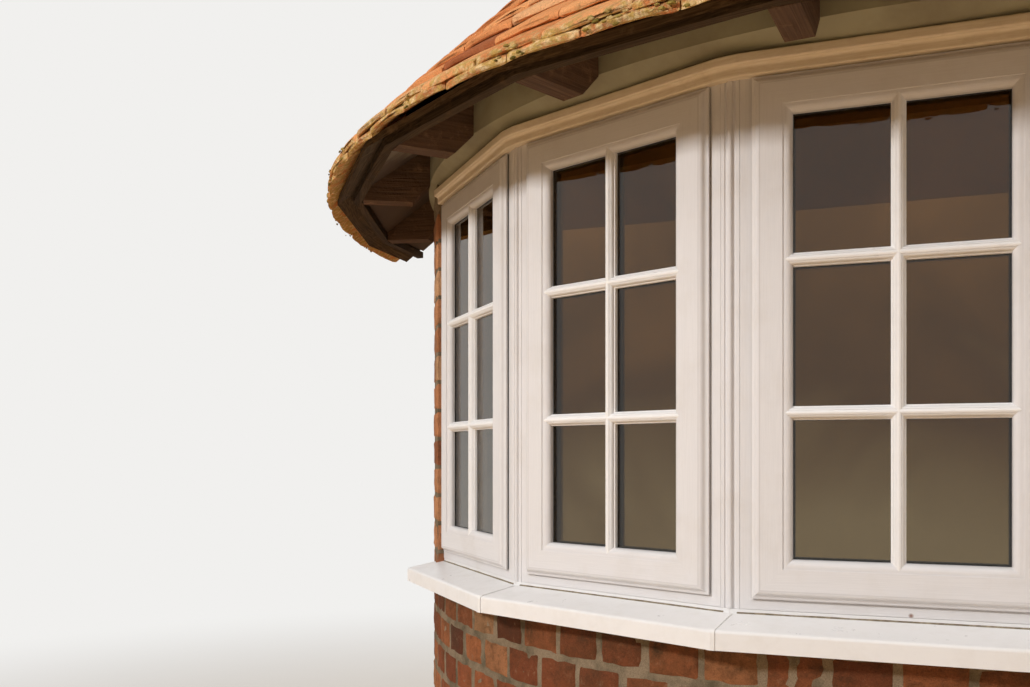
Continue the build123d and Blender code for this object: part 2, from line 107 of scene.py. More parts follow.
@dataclass
class Mesher:
    """Gathers points and faces, with one tone for each face, and makes one object of them."""

    points: list[Vector] = field(default_factory=list)
    faces: list[tuple[int, ...]] = field(default_factory=list)
    tones: list[float] = field(default_factory=list)
    sharp_angle: float = 40.0

    def loft(self, loops: Sequence[Loop], tone: float = 0.5, closed: bool = False) -> None:
        """Joins loops of the same length into a closed shell.

        Args:
            loops: Rings of points, from one end to the other.
            tone: Value that the material reads to vary its colour.
            closed: Whether the last loop joins the first, instead of two end caps.
        """
        start, count, rows = len(self.points), len(loops[0]), len(loops)
        for loop in loops:
            self.points.extend(loop)
        for row in range(rows if closed else rows - 1):
            near, far = start + row * count, start + (row + 1) % rows * count
            for place in range(count):
                following = (place + 1) % count
                self.faces.append((near + place, near + following, far + following, far + place))
        if not closed:
            self.faces.append(tuple(range(start + count - 1, start - 1, -1)))
            self.faces.append(tuple(range(start + (rows - 1) * count, start + rows * count)))
        self.tones.extend([tone] * (len(self.faces) - len(self.tones)))

    def piece(self, name: str, material: Material, slot: str) -> bpy.types.Object:
        """Makes the object, which rides on the bay, with hard edges where faces meet at a sharp angle.

        Args:
            name: Name of the piece.
            material: Its material.
            slot: Name of a material slot; not used.

        Returns:
            The new object.
        """
        shape = bmesh.new()
        tone_layer = shape.faces.layers.float.new("tone")
        corners = [shape.verts.new(point) for point in self.points]
        for face, tone in zip(self.faces, self.tones):
            made = shape.faces.new([corners[index] for index in face])
            made.smooth = True
            made[tone_layer] = tone
        bmesh.ops.recalc_face_normals(shape, faces=shape.faces)
        for edge in shape.edges:
            if len(edge.link_faces) == 2 and edge.calc_face_angle(0.0) > math.radians(self.sharp_angle):
                edge.smooth = False
        mesh = bpy.data.meshes.new(name)
        shape.to_mesh(mesh)
        shape.free()
        mesh.materials.append(material)
        made_object = bpy.data.objects.new(name, mesh)
        bpy.context.scene.collection.objects.link(made_object)
        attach(made_object, "root")
        LOG.info("%s: %d faces", name, len(mesh.polygons))
        return made_object


def coat(material: Material, *names: str) -> None:
    """Gives CAD nodes, whose shapes stay as they are, a better material.

    Args:
        material: Their new material.
        names: Names of the nodes.
    """
    for name in names:
        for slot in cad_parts[name].material_slots:
            slot.material = material
        LOG.info("%s: %s", name, material.name)


# Shared sizes, in metres and degrees

@dataclass(frozen=True)
class Plan:
    """The bay's main sizes, which repeat those of the CAD part."""

    axis_y: float = 0.820
    brick_radius: float = 1.345
    wall_inner: float = 1.130
    board_step: float = 1.205
    frieze_radius: float = 1.358
    face_distance: float = 1.290
    frame_bottom: float = 1.008
    frame_height: float = 0.983
    cill_bed: float = 0.948
    centre_width: float = 0.538
    side_width: float = 0.508
    coupler: float = 0.036
    turn: float = 24.0
    quarter: float = 90.0

    def polar(self, radius: float, angle: float, height: float) -> Vector:
        """Point at a distance from the bay's axis, with its angle in degrees from straight ahead."""
        turned = math.radians(angle)
        return Vector((radius * math.sin(turned), self.axis_y - radius * math.cos(turned), height))

    def light(self, index: int) -> "LightPlace":
        """Works out where a light stands.

        Args:
            index: Number of the light, from 0 at the far left to 4 at the far right.

        Returns:
            Its place.
        """
        centre = len(LIGHT_NAMES) // 2
        side = 1 if index >= centre else -1
        spot = Vector((0.0, self.axis_y - self.face_distance, 0.0))
        for step in range(abs(index - centre)):
            half = (self.centre_width if step == 0 else self.side_width) / 2
            for turns, length in ((step, half), (step + 0.5, self.coupler), (step + 1, self.side_width / 2)):
                spot += side * length * heading(side * turns * self.turn)[0]
        width = self.centre_width if index == centre else self.side_width
        return LightPlace(spot, (index - centre) * self.turn, width)


@dataclass(frozen=True)
class LightPlace:
    """Place of one light: the middle of its face on the ground, its turn and its width."""

    spot: Vector
    turn: float
    width: float

    def at(self, along: float, out: float, height: float) -> Vector:
        """Point at a distance along the light's face, in front of it and above the ground."""
        across, front = heading(self.turn)
        return self.spot + along * across + out * front + height * UP

    def around(self, inset: float, out: float) -> Loop:
        """Corners of a rectangle inset from the frame's edges, from the bottom left round to the top left."""
        wide, tall = self.width / 2 - inset, PLAN.frame_height / 2 - inset
        middle = PLAN.frame_bottom + PLAN.frame_height / 2
        return [self.at(side * wide, out, middle + level * tall)
                for side, level in ((-1, -1), (1, -1), (1, 1), (-1, 1))]


PLAN = Plan()


# Nodes

@dataclass(frozen=True)
class Pattern:
    """Noise: waves to the metre, octaves, strength of the finer ones, and how far it is stirred."""

    waves: float
    detail: float
    roughness: float = 0.5
    stir: float = 0.0


@dataclass(frozen=True)
class Span:
    """Values from start to end, turned into values from low to high and held there beyond."""

    start: float
    end: float
    low: float = 0.0
    high: float = 1.0


@dataclass(frozen=True)
class Layer:
    """A colour over another: its least share at the start of a span of values, its full share at the end."""

    colour: str
    start: float
    end: float
    share: float = 1.0
    least: float = 0.0


@dataclass(frozen=True)
class Nodes:
    """The nodes of a material or world, with a short way to make those that the finishes share."""

    tree: bpy.types.NodeTree
    drawn: dict[Pattern, Socket] = field(default_factory=dict)

    def wire(self, node: bpy.types.Node, inputs: dict) -> None:
        """Sets or links the inputs of a node.

        Args:
            node: Node whose inputs are set.
            inputs: A number, colour or output socket for each input, by name or place.
        """
        for socket, value in inputs.items():
            if isinstance(value, Socket):
                self.tree.links.new(value, node.inputs[socket])
            else:
                node.inputs[socket].default_value = value

    def add(self, kind: str, inputs: dict, **settings: object) -> bpy.types.Node:
        """Adds a shader node with its settings, values and links.

        Args:
            kind: The node's type, without its leading ShaderNode.
            inputs: A number, colour or output socket for each input, by name or place.
            settings: The node's own properties.

        Returns:
            The new node.
        """
        node = self.tree.nodes.new("ShaderNode" + kind)
        for key, value in settings.items():
            setattr(node, key, value)
        self.wire(node, inputs)
        return node

    def spot(self) -> Socket:
        """Place on the bay, in metres."""
        return self.add("TexCoord", {}).outputs["Object"]

    def tone(self) -> Socket:
        """The tone that each brick, tile or lump was made with."""
        return self.add("Attribute", {}, attribute_name="tone", attribute_type="GEOMETRY").outputs["Fac"]

    def parts(self, place: Socket) -> Sequence[Socket]:
        """The three coordinates of a place."""
        return self.add("SeparateXYZ", {0: place}).outputs

    def level(self) -> Socket:
        """Height above the ground."""
        return self.parts(self.spot())[2]

    def calc(self, operation: str, *values: float | Socket, clamp: bool = False) -> Socket:
        """Joins numbers by one operation."""
        return self.add("Math", dict(enumerate(values)), operation=operation, use_clamp=clamp).outputs[0]

    def vector(self, operation: str, *values: object) -> bpy.types.NodeOutputs:
        """Joins places by one operation."""
        return self.add("VectorMath", dict(enumerate(values)), operation=operation).outputs

    def noise_at(self, pattern: Pattern, place: Socket) -> Socket:
        """Draws a pattern in space that is stretched or turned."""
        return self.add("TexNoise", {"Vector": place, "Scale": pattern.waves, "Detail": pattern.detail,
                                     "Roughness": pattern.roughness, "Distortion": pattern.stir}).outputs[0]

    def noise(self, pattern: Pattern) -> Socket:
        """Draws a pattern, once for each finish."""
        if pattern not in self.drawn:
            self.drawn[pattern] = self.noise_at(pattern, self.spot())
        return self.drawn[pattern]

    def span(self, value: Socket, span: Span, shape: str = "LINEAR") -> Socket:
        """Turns one span of values into another."""
        return self.add("MapRange", {0: value, 1: span.start, 2: span.end, 3: span.low, 4: span.high},
                        interpolation_type=shape).outputs[0]

    def mix(self, share: Socket, under: Socket | str, over: Socket | str) -> Socket:
        """Lays a share of one colour over another; text is an sRGB colour."""
        pair = [srgb(colour) if isinstance(colour, str) else colour for colour in (under, over)]
        return self.add("Mix", {0: share, 6: pair[0], 7: pair[1]}, data_type="RGBA").outputs[2]

    def lay(self, under: Socket | str, value: Socket, layer: Layer) -> Socket:
        """Lays a layer over a colour, as a value tells."""
        share = self.span(value, Span(layer.start, layer.end, layer.least, layer.share))
        return self.mix(share, under, layer.colour)

    def shade(self, colour: Socket, value: Socket, shades: Span) -> Socket:
        """Multiplies a colour by a value's shade."""
        return self.add("Mix", {0: 1.0, 6: colour, 7: self.span(value, shades)}, data_type="RGBA",
                        blend_type="MULTIPLY").outputs[2]

    def ramp(self, share: Socket, codes: dict[float, str]) -> Socket:
        """Colours a share from 0 to 1.

        Args:
            share: The share.
            codes: sRGB colours by their share, from 0.0 to 1.0.

        Returns:
            The colour.
        """
        node = self.add("ValToRGB", {0: share})
        stops = node.color_ramp.elements
        for place, code in codes.items():
            stop = stops[0] if place == 0.0 else stops[-1] if place == 1.0 else stops.new(place)
            stop.color = srgb(code)
        return node.outputs[0]

    def seen(self) -> Socket:
        """1 for what the camera sees, straight or by gloss or through glass, and 0 for light."""
        ray = self.add("LightPath", {}).outputs
        direct = self.calc("MAXIMUM", ray["Is Camera Ray"], ray["Is Glossy Ray"])
        return self.calc("MAXIMUM", direct, ray["Is Transmission Ray"])

    def surface(self, colour: Socket, roughness: float | Socket, height: Socket, relief: Pair,
                gloss: float = 0.5, **more: float) -> None:
        """Wires the shader.

        Args:
            colour: Its colour.
            roughness: Its roughness.
            height: Pattern that stands out of the surface.
            relief: How strongly it does, and by how many metres.
            gloss: Share of light that it mirrors, 0.5 for a clean surface.
            more: Other inputs, with underscores for spaces.
        """
        raised = self.add("Bump", {"Height": height, "Strength": relief[0], "Distance": relief[1]})
        others = {key.replace("_", " "): value for key, value in more.items()}
        self.wire(self.tree.nodes["Principled BSDF"], {
            "Base Color": colour, "Roughness": roughness, "Normal": raised.outputs[0],
            "Specular IOR Level": gloss, **others})


# Finishes

class Grain(Enum):
    """Which way a material's grain runs."""

    RADIAL = "out from the bay's axis"
    ROUND = "round the bay"


@dataclass(frozen=True)
class Finish:
    """A material made of nodes, named for the real one."""

    name: str

    def material(self) -> Material:
        """Makes the material and lets the finish fill in its nodes."""
        made = bpy.data.materials.new(self.name)
        made.use_nodes = True
        self.dress(Nodes(made.node_tree))
        return made

    def dress(self, nodes: Nodes) -> None:
        """Fills in the nodes; each finish has its own way."""
        raise NotImplementedError


@dataclass(frozen=True)
class FoiledPvc(Finish):
    """uPVC profile under an embossed white foil: satin, with faint raised grain along each bar."""

    stain: Place
    place: LightPlace | None = None
    colour: str = "dfdcdc"
    rust: Layer = Layer("7a4a2c", 0.0016, 0.0052, 0.0, 0.85)
    grain: Pattern = Pattern(1.0, 3.0)
    fine: float = 650.0
    long: float = 16.0
    shades: Span = Span(0.35, 0.65, 0.955, 1.0)
    grime: Pattern = Pattern(7.0, 6.0, 0.65)
    dirt: Layer = Layer("d0c9c2", 0.50, 0.82, 0.6)
    satin: Span = Span(0.3, 0.7, 0.30, 0.46)
    creases: tuple[float, ...] = (0.0212, 0.0372, 0.0945)
    crease_half: float = 0.0012
    # Painted shade: a dark brown laid in the creases of a light's profiles.
    crease_shade: Layer = Layer("5b4a3a", 0.0, 1.0, 0.16)
    relief: Pair = (0.35, 0.0003)

    def lines(self, nodes: Nodes, spot: Socket, *waves: float) -> Socket:
        """Draws grain with so many waves to the metre each way."""
        return nodes.noise_at(self.grain, nodes.add("Mapping", {"Vector": spot, "Scale": waves}).outputs[0])

    def on_light(self, nodes: Nodes, lines: Socket) -> tuple[Socket, Socket]:
        """Turns the grain along the rails of a light and finds the creases of its profiles.

        Args:
            nodes: The material's nodes.
            lines: Grain of the upright bars.

        Returns:
            Grain of the whole light, and 1 in its creases.
        """
        centre = self.place.at(0.0, 0.0, PLAN.frame_bottom + PLAN.frame_height / 2)
        turned = nodes.add("VectorRotate", {"Vector": nodes.spot(), "Center": centre,
                                            "Angle": -math.radians(self.place.turn)}, rotation_type="Z_AXIS")
        local = nodes.vector("SUBTRACT", turned.outputs[0], centre)[0]
        parts = nodes.parts(local)
        across, above = nodes.calc("ABSOLUTE", parts[0]), nodes.calc("ABSOLUTE", parts[2])
        mitre = nodes.calc("SUBTRACT", above, (PLAN.frame_height - self.place.width) / 2)
        rails = self.lines(nodes, local, self.long, self.fine, self.fine)
        stile = nodes.calc("GREATER_THAN", across, mitre)
        both = nodes.add("Mix", {0: stile, 2: rails, 3: lines}, data_type="FLOAT")
        inset = nodes.calc("MINIMUM", nodes.calc("SUBTRACT", self.place.width / 2, across),
                           nodes.calc("SUBTRACT", PLAN.frame_height / 2, above))
        inside = nodes.calc("COMPARE", inset, self.creases[0], self.crease_half)
        for crease in self.creases[1:]:
            inside = nodes.calc("MAXIMUM", inside, nodes.calc("COMPARE", inset, crease, self.crease_half))
        return both.outputs[0], inside

    def dress(self, nodes: Nodes) -> None:
        """Draws grain lines 1.5 mm apart and 60 mm long, light grime, one rust stain and painted shade in the
        creases of the light's profiles.

        Args:
            nodes: The material's nodes.
        """
        lines, inside = self.lines(nodes, nodes.spot(), self.fine, self.fine, self.long), None
        if self.place is not None:
            lines, inside = self.on_light(nodes, lines)
        grime = nodes.noise(self.grime)
        away = nodes.vector("DISTANCE", nodes.spot(), self.stain)["Value"]
        colour = nodes.lay(nodes.lay(self.colour, grime, self.dirt), away, self.rust)
        colour = nodes.shade(colour, lines, self.shades)
        # Painted shade along the creases of the light's profiles.
        if inside is not None:
            colour = nodes.lay(colour, inside, self.crease_shade)
        nodes.surface(colour, nodes.span(grime, self.satin), lines, self.relief, IOR=PVC_INDEX)


@dataclass(frozen=True)
class SmoothPvc(Finish):
    """Extruded white uPVC, smooth and slightly glossy, with dust and rain marks."""

    colour: str = "eae8e7"
    dust: str = "cbc3b8"
    amount: float = 0.25
    speck_share: float = 0.6
    patches: Pattern = Pattern(20.0, 7.0, 0.7)
    specks: Pattern = Pattern(500.0, 2.0)
    shine: Span = Span(0.3, 0.75, 0.24, 0.5)
    relief: Pair = (0.08, 0.001)

    def dress(self, nodes: Nodes) -> None:
        """Draws dust in soft patches 50 mm wide and specks of 2 mm.

        Args:
            nodes: The material's nodes.
        """
        patches = nodes.noise(self.patches)
        dusty = nodes.span(patches, Span(0.48, 0.8, 0.0, self.amount))
        specks = nodes.span(nodes.noise(self.specks), Span(0.68, 0.78, 0.0, self.amount * self.speck_share))
        colour = nodes.mix(nodes.calc("MAXIMUM", dusty, specks), self.colour, self.dust)
        nodes.surface(colour, nodes.span(patches, self.shine), patches, self.relief, IOR=PVC_INDEX)


@dataclass(frozen=True)
class RoomShadedGlass(Finish):
    """Float glass for a sealed unit: polished, and toned with painted shade of the dim room behind the real
    one.
    """

    # Painted shade of the dim room behind the glass, from the bottom of the panes to the top.
    room_shade_tints: tuple[str, str, str] = ("a4967a", "82693f", "a0845a")
    cloud: Pattern = Pattern(2.6, 3.0, stir=0.8)
    cloud_rise: float = 0.9
    heights: Span = Span(1.60, 2.35)
    wave: Pattern = Pattern(8.0, 1.0)
    film: Pattern = Pattern(30.0, 6.0, 0.7)
    smear: Span = Span(0.45, 0.8, 0.0, 0.04)
    relief: Pair = (0.05, 0.002)
    index: float = 1.52

    def dress(self, nodes: Nodes) -> None:
        """Tones the glass with painted shade of the room, browner upwards as painted shade of the ceiling
        behind, with a slight roller wave, 120 mm long, in its gloss.

        Args:
            nodes: The material's nodes.
        """
        drift = nodes.calc("MULTIPLY_ADD", nodes.noise(self.cloud), self.cloud_rise, nodes.level())
        # Painted shade of the room, browner upwards where its ceiling lies behind.
        room_shade = nodes.ramp(nodes.span(drift, self.heights), dict(zip((0.0, 0.42, 1.0), self.room_shade_tints)))
        smear = nodes.span(nodes.noise(self.film), self.smear)
        wave = nodes.noise(self.wave)
        nodes.surface(room_shade, smear, wave, self.relief, Transmission_Weight=1.0, IOR=self.index)


@dataclass(frozen=True)
class Rubber(Finish):
    """Extruded EPDM or butyl seal: matt black with a grey bloom."""

    colour: str = "1c1b1a"
    bloom: str = "3a3835"
    patch: Pattern = Pattern(120.0, 4.0)
    roughness: float = 0.7
    relief: Pair = (0.2, 0.0003)

    def dress(self, nodes: Nodes) -> None:
        """Draws the bloom in patches 8 mm wide.

        Args:
            nodes: The material's nodes.
        """
        patch = nodes.noise(self.patch)
        colour = nodes.lay(self.colour, patch, Layer(self.bloom, 0.4, 0.75))
        nodes.surface(colour, self.roughness, patch, self.relief)


@dataclass(frozen=True)
class Brick(Finish):
    """Soft red facing brick, sand-moulded and kiln-fired: rough, with orange, buff and dark bricks."""

    reds: tuple[str, str, str, str] = ("5f3424", "8c4e33", "b06e48", "ae8a66")
    # Strength of the painted shade under the cill, and the heights over which it comes in.
    under_cill_shade: float = 0.75
    under_cill_heights: Pair = (0.728, 0.928)
    mottle: Pattern = Pattern(45.0, 8.0, 0.7)
    pits: Pattern = Pattern(420.0, 4.0, 0.6)
    scorch: Layer = Layer("452a20", 0.52, 0.8, 0.8)
    lime: Layer = Layer("b8977a", 0.42, 0.24, 0.6)
    weather: Pattern = Pattern(6.0, 8.0, 0.75)
    grime: Span = Span(0.47, 0.72, 0.0, 0.65)
    # Dark brown of the weather grime and of the painted shade under the cill.
    darkening: str = "463726"
    pit_shades: Span = Span(0.35, 0.6, 0.78, 1.05)
    roughness: float = 0.92
    gloss: float = 0.25
    relief: Pair = (0.85, 0.0032)

    def dress(self, nodes: Nodes) -> None:
        """Colours each brick by its tone, with sand pits of 2 mm, scorch, lime bloom, weather grime and
        painted shade under the cill.

        Args:
            nodes: The material's nodes.
        """
        mottle, pits = nodes.noise(self.mottle), nodes.noise(self.pits)
        colour = nodes.ramp(nodes.tone(), dict(zip((0.0, 0.4, 0.75, 1.0), self.reds)))
        for layer in (self.scorch, self.lime):
            colour = nodes.lay(colour, mottle, layer)
        grime = nodes.span(nodes.noise(self.weather), self.grime)
        # Painted shade under the cill in the top courses, added to the weather grime.
        near = nodes.span(nodes.level(), Span(*self.under_cill_heights, 0.0, self.under_cill_shade))
        colour = nodes.mix(nodes.calc("MULTIPLY_ADD", near, mottle, grime, clamp=True), colour, self.darkening)
        colour = nodes.shade(colour, pits, self.pit_shades)
        height = nodes.calc("ADD", mottle, pits)
        nodes.surface(colour, self.roughness, height, self.relief, self.gloss)


@dataclass(frozen=True)
class LimeMortar(Finish):
    """Lime and sand mortar, struck by hand: matt, sandy, grey-green where it stays damp."""

    colour: str = "978670"
    damp: Layer = Layer("625a49", 0.42, 0.62, 0.9, 0.05)
    stain: Pattern = Pattern(14.0, 6.0, 0.6)
    sand: Pattern = Pattern(480.0, 3.0, 0.7)
    sand_shades: Span = Span(0.3, 0.65, 0.62, 1.1)
    roughness: float = 0.95
    gloss: float = 0.2
    relief: Pair = (0.8, 0.0025)

    def dress(self, nodes: Nodes) -> None:
        """Draws sand grains of about 2 mm and stains 70 mm wide.

        Args:
            nodes: The material's nodes.
        """
        stain, sand = nodes.noise(self.stain), nodes.noise(self.sand)
        colour = nodes.shade(nodes.lay(self.colour, stain, self.damp), sand, self.sand_shades)
        height = nodes.calc("ADD", sand, stain)
        nodes.surface(colour, self.roughness, height, self.relief, self.gloss)


@dataclass(frozen=True)
class ClayTile(Finish):
    """Handmade plain clay tile, sand-faced: orange with buff, pink and brown ones, and lichen low down."""

    clays: tuple[str, str, str, str] = ("a25e3c", "da8650", "efa86e", "e4b688")
    mottle: Pattern = Pattern(30.0, 9.0, 0.7)
    pits: Pattern = Pattern(330.0, 4.0, 0.65)
    darkening: Layer = Layer("7a4a32", 0.53, 0.78, 0.6)
    sand: Layer = Layer("e8b184", 0.44, 0.25, 0.6)
    growth: Pattern = Pattern(34.0, 10.0, 0.72)
    growth_heights: Span = Span(1.985, 2.070, 0.17, -0.04)
    cover: Span = Span(0.56, 0.68, 0.0, 0.85)
    lichen: str = "c4a45c"
    pale: Layer = Layer("ecd09c", 0.45, 0.62)
    kinds: Pattern = Pattern(90.0, 3.0)
    pit_shades: Span = Span(0.35, 0.62, 0.72, 1.06)
    crust: float = 0.5
    roughness: float = 0.93
    gloss: float = 0.2
    relief: Pair = (0.9, 0.0034)

    def dress(self, nodes: Nodes) -> None:
        """Colours each tile by its tone, and grows lichen in patches of 15 to 60 mm near the eaves.

        Args:
            nodes: The material's nodes.
        """
        mottle, pits = nodes.noise(self.mottle), nodes.noise(self.pits)
        colour = nodes.ramp(nodes.tone(), dict(zip((0.0, 0.35, 0.7, 1.0), self.clays)))
        for layer in (self.darkening, self.sand):
            colour = nodes.lay(colour, mottle, layer)
        low = nodes.span(nodes.level(), self.growth_heights)
        cover = nodes.span(nodes.calc("ADD", nodes.noise(self.growth), low), self.cover)
        colour = nodes.mix(cover, colour, nodes.lay(self.lichen, nodes.noise(self.kinds), self.pale))
        crusted = nodes.calc("MULTIPLY_ADD", cover, self.crust, nodes.calc("ADD", mottle, pits))
        colour = nodes.shade(colour, pits, self.pit_shades)
        nodes.surface(colour, self.roughness, crusted, self.relief, self.gloss)


@dataclass(frozen=True)
class Moss(Finish):
    """Cushions of moss with a crust of lichen: matt, velvety, from yellow-green to tan."""

    tones: tuple[str, str, str] = ("6a6030", "a8914c", "d0b47c")
    leaves: Pattern = Pattern(620.0, 3.0, 0.7)
    leaf_shades: Span = Span(0.35, 0.62, 0.5, 1.05)
    roughness: float = 0.97
    gloss: float = 0.1
    relief: Pair = (0.9, 0.0012)

    def dress(self, nodes: Nodes) -> None:
        """Colours each lump by its tone, with leaflets of about 1.5 mm.

        Args:
            nodes: The material's nodes.
        """
        leaves = nodes.noise(self.leaves)
        body = nodes.ramp(nodes.tone(), dict(zip((0.0, 0.45, 1.0), self.tones)))
        colour = nodes.shade(body, leaves, self.leaf_shades)
        nodes.surface(colour, self.roughness, leaves, self.relief, self.gloss)


@dataclass(frozen=True)
class Plaster(Finish):
    """Sand and lime render, floated smooth and painted: matt, with trowel marks and soft stains."""

    colour: str = "9e9a84"
    stain: str = "7c7260"
    depth: float = 0.0012
    # Strength, colour and spread of a darker tone towards the house wall.
    darkening: float = 0.0
    darkening_colour: str = "4c382a"
    darkening_drift: float = 0.4
    sweep: Pattern = Pattern(16.0, 4.0, stir=1.2)
    stains: Pattern = Pattern(5.0, 7.0, 0.62)
    sand: Pattern = Pattern(600.0, 2.0)
    sand_share: float = 0.25
    roughness: float = 0.9
    gloss: float = 0.25
    strength: float = 0.5

    def dress(self, nodes: Nodes) -> None:
        """Draws trowel sweeps 60 mm wide, stains 200 mm wide, sand of 1.5 mm and a darker tone towards the
        house wall.

        Args:
            nodes: The material's nodes.
        """
        stains = nodes.noise(self.stains)
        colour = nodes.lay(self.colour, stains, Layer(self.stain, 0.42, 0.75, 0.8))
        # Darker towards the house wall, at both ends of the bay.
        if self.darkening:
            aside = nodes.calc("ABSOLUTE", nodes.parts(nodes.spot())[0])
            drift = nodes.calc("MULTIPLY_ADD", stains, self.darkening_drift, aside)
            colour = nodes.lay(colour, drift, Layer(self.darkening_colour, 1.20, 1.44, self.darkening))
        height = nodes.calc("MULTIPLY_ADD", nodes.noise(self.sand), self.sand_share, nodes.noise(self.sweep))
        nodes.surface(colour, self.roughness, height, (self.strength, self.depth), self.gloss)


@dataclass(frozen=True)
class Wood(Finish):
    """Sawn softwood under stain or paint: grain shows through, and edges and patches are worn."""

    colour: str
    dark: str
    worn: str
    depth: float = 0.0006
    wear: float = 0.5
    roughness: float = 0.6
    gloss: float = 0.1
    grain: Grain = Grain.ROUND
    line_gap: float = 0.003
    line_waves: float = 7.0
    lines: Pattern = Pattern(1.0, 5.0, stir=0.6)
    patches: Pattern = Pattern(24.0, 8.0, 0.7)
    patch_rise: float = 1.5
    strength: float = 0.6
    board_rise: float = 0.0
    board_joint: Layer = Layer("17120d", 0.02, 0.06, 0.0, 0.85)

    def along(self, nodes: Nodes) -> Socket:
        """Works out a place in the wood, with the first coordinate along the grain.

        Args:
            nodes: The material's nodes.

        Returns:
            Socket of the place, in metres.
        """
        centred = nodes.vector("SUBTRACT", nodes.spot(), (0.0, PLAN.axis_y, 0.0))[0]
        parts = nodes.parts(centred)
        level = nodes.vector("MULTIPLY", centred, (1.0, 1.0, 0.0))[0]
        distance = nodes.vector("LENGTH", level)["Value"]
        arc = nodes.calc("MULTIPLY", nodes.calc("ARCTAN2", parts[0], parts[1]), PLAN.frieze_radius)
        order = {0: distance, 1: arc} if self.grain is Grain.RADIAL else {0: arc, 1: distance}
        return nodes.add("CombineXYZ", {**order, 2: parts[2]}).outputs[0]

    def dress(self, nodes: Nodes) -> None:
        """Draws grain lines 3 mm apart and 150 mm long, worn patches 40 mm wide, and joints of boards.

        Args:
            nodes: The material's nodes.
        """
        fine = 1 / self.line_gap
        drawn = nodes.add("Mapping", {"Vector": self.along(nodes), "Scale": (self.line_waves, fine, fine)})
        lines, patch = nodes.noise_at(self.lines, drawn.outputs[0]), nodes.noise(self.patches)
        colour = nodes.lay(self.dark, lines, Layer(self.colour, 0.35, 0.68))
        colour = nodes.lay(colour, patch, Layer(self.worn, 0.56, 0.72, self.wear))
        if self.board_rise:
            part = nodes.calc("FRACT", nodes.calc("DIVIDE", nodes.level(), self.board_rise))
            colour = nodes.lay(colour, part, self.board_joint)
        rough = nodes.span(patch, Span(0.3, 0.7, self.roughness - 0.1, self.roughness + 0.15))
        height = nodes.calc("MULTIPLY_ADD", patch, self.patch_rise, lines)
        nodes.surface(colour, rough, height, (self.strength, self.depth), self.gloss)


@dataclass(frozen=True)
class MilledLead(Finish):
    """Sheet lead, milled and dressed by hand: dull grey with pale patina and shallow dressing marks."""

    colour: str = "6f7376"
    patina: Layer = Layer("9a9c9a", 0.4, 0.66)
    marks: Pattern = Pattern(28.0, 2.0)
    bloom: Pattern = Pattern(11.0, 8.0, 0.7)
    dull: Span = Span(0.3, 0.7, 0.42, 0.68)
    bare: float = 0.65
    relief: Pair = (0.6, 0.004)

    def dress(self, nodes: Nodes) -> None:
        """Draws dressing marks 35 mm wide and patina in patches 90 mm wide.

        Args:
            nodes: The material's nodes.
        """
        bloom = nodes.noise(self.bloom)
        nodes.surface(nodes.lay(self.colour, bloom, self.patina), nodes.span(bloom, self.dull),
                      nodes.noise(self.marks), self.relief, Metallic=self.bare)


@dataclass(frozen=True)
class StudioFloor(Finish):
    """Pale matt studio floor, warm in what it throws back, that fades into the backdrop far from the bay."""

    colour: str = "f3eee6"
    bounce: str = "e0bf94"
    faint: Pattern = Pattern(3.0, 5.0)
    shades: Span = Span(0.3, 0.7, 0.97, 1.0)
    fade: Span = Span(2.0, 6.5)
    roughness: float = 0.9
    gloss: float = 0.2

    def dress(self, nodes: Nodes) -> None:
        """Leaves a faint texture, and gives the camera the backdrop's own tone from 2 to 6.5 m away.

        Args:
            nodes: The material's nodes.
        """
        seen, paint = nodes.seen(), nodes.tree.nodes["Principled BSDF"]
        colour = nodes.shade(nodes.mix(seen, self.bounce, self.colour), nodes.noise(self.faint), self.shades)
        nodes.wire(paint, {"Base Color": colour, "Roughness": self.roughness,
                           "Specular IOR Level": self.gloss})
        away = nodes.span(nodes.vector("LENGTH", nodes.spot())["Value"], self.fade, "SMOOTHSTEP")
        glow = nodes.add("Emission", {"Color": srgb(Studio.backdrop), "Strength": 1.0})
        share = nodes.calc("MULTIPLY", away, seen)
        mixed = nodes.add("MixShader", {0: share, 1: paint.outputs[0], 2: glow.outputs[0]})
        nodes.wire(nodes.tree.nodes["Material Output"], {"Surface": mixed.outputs[0]})


# Sub-assemblies

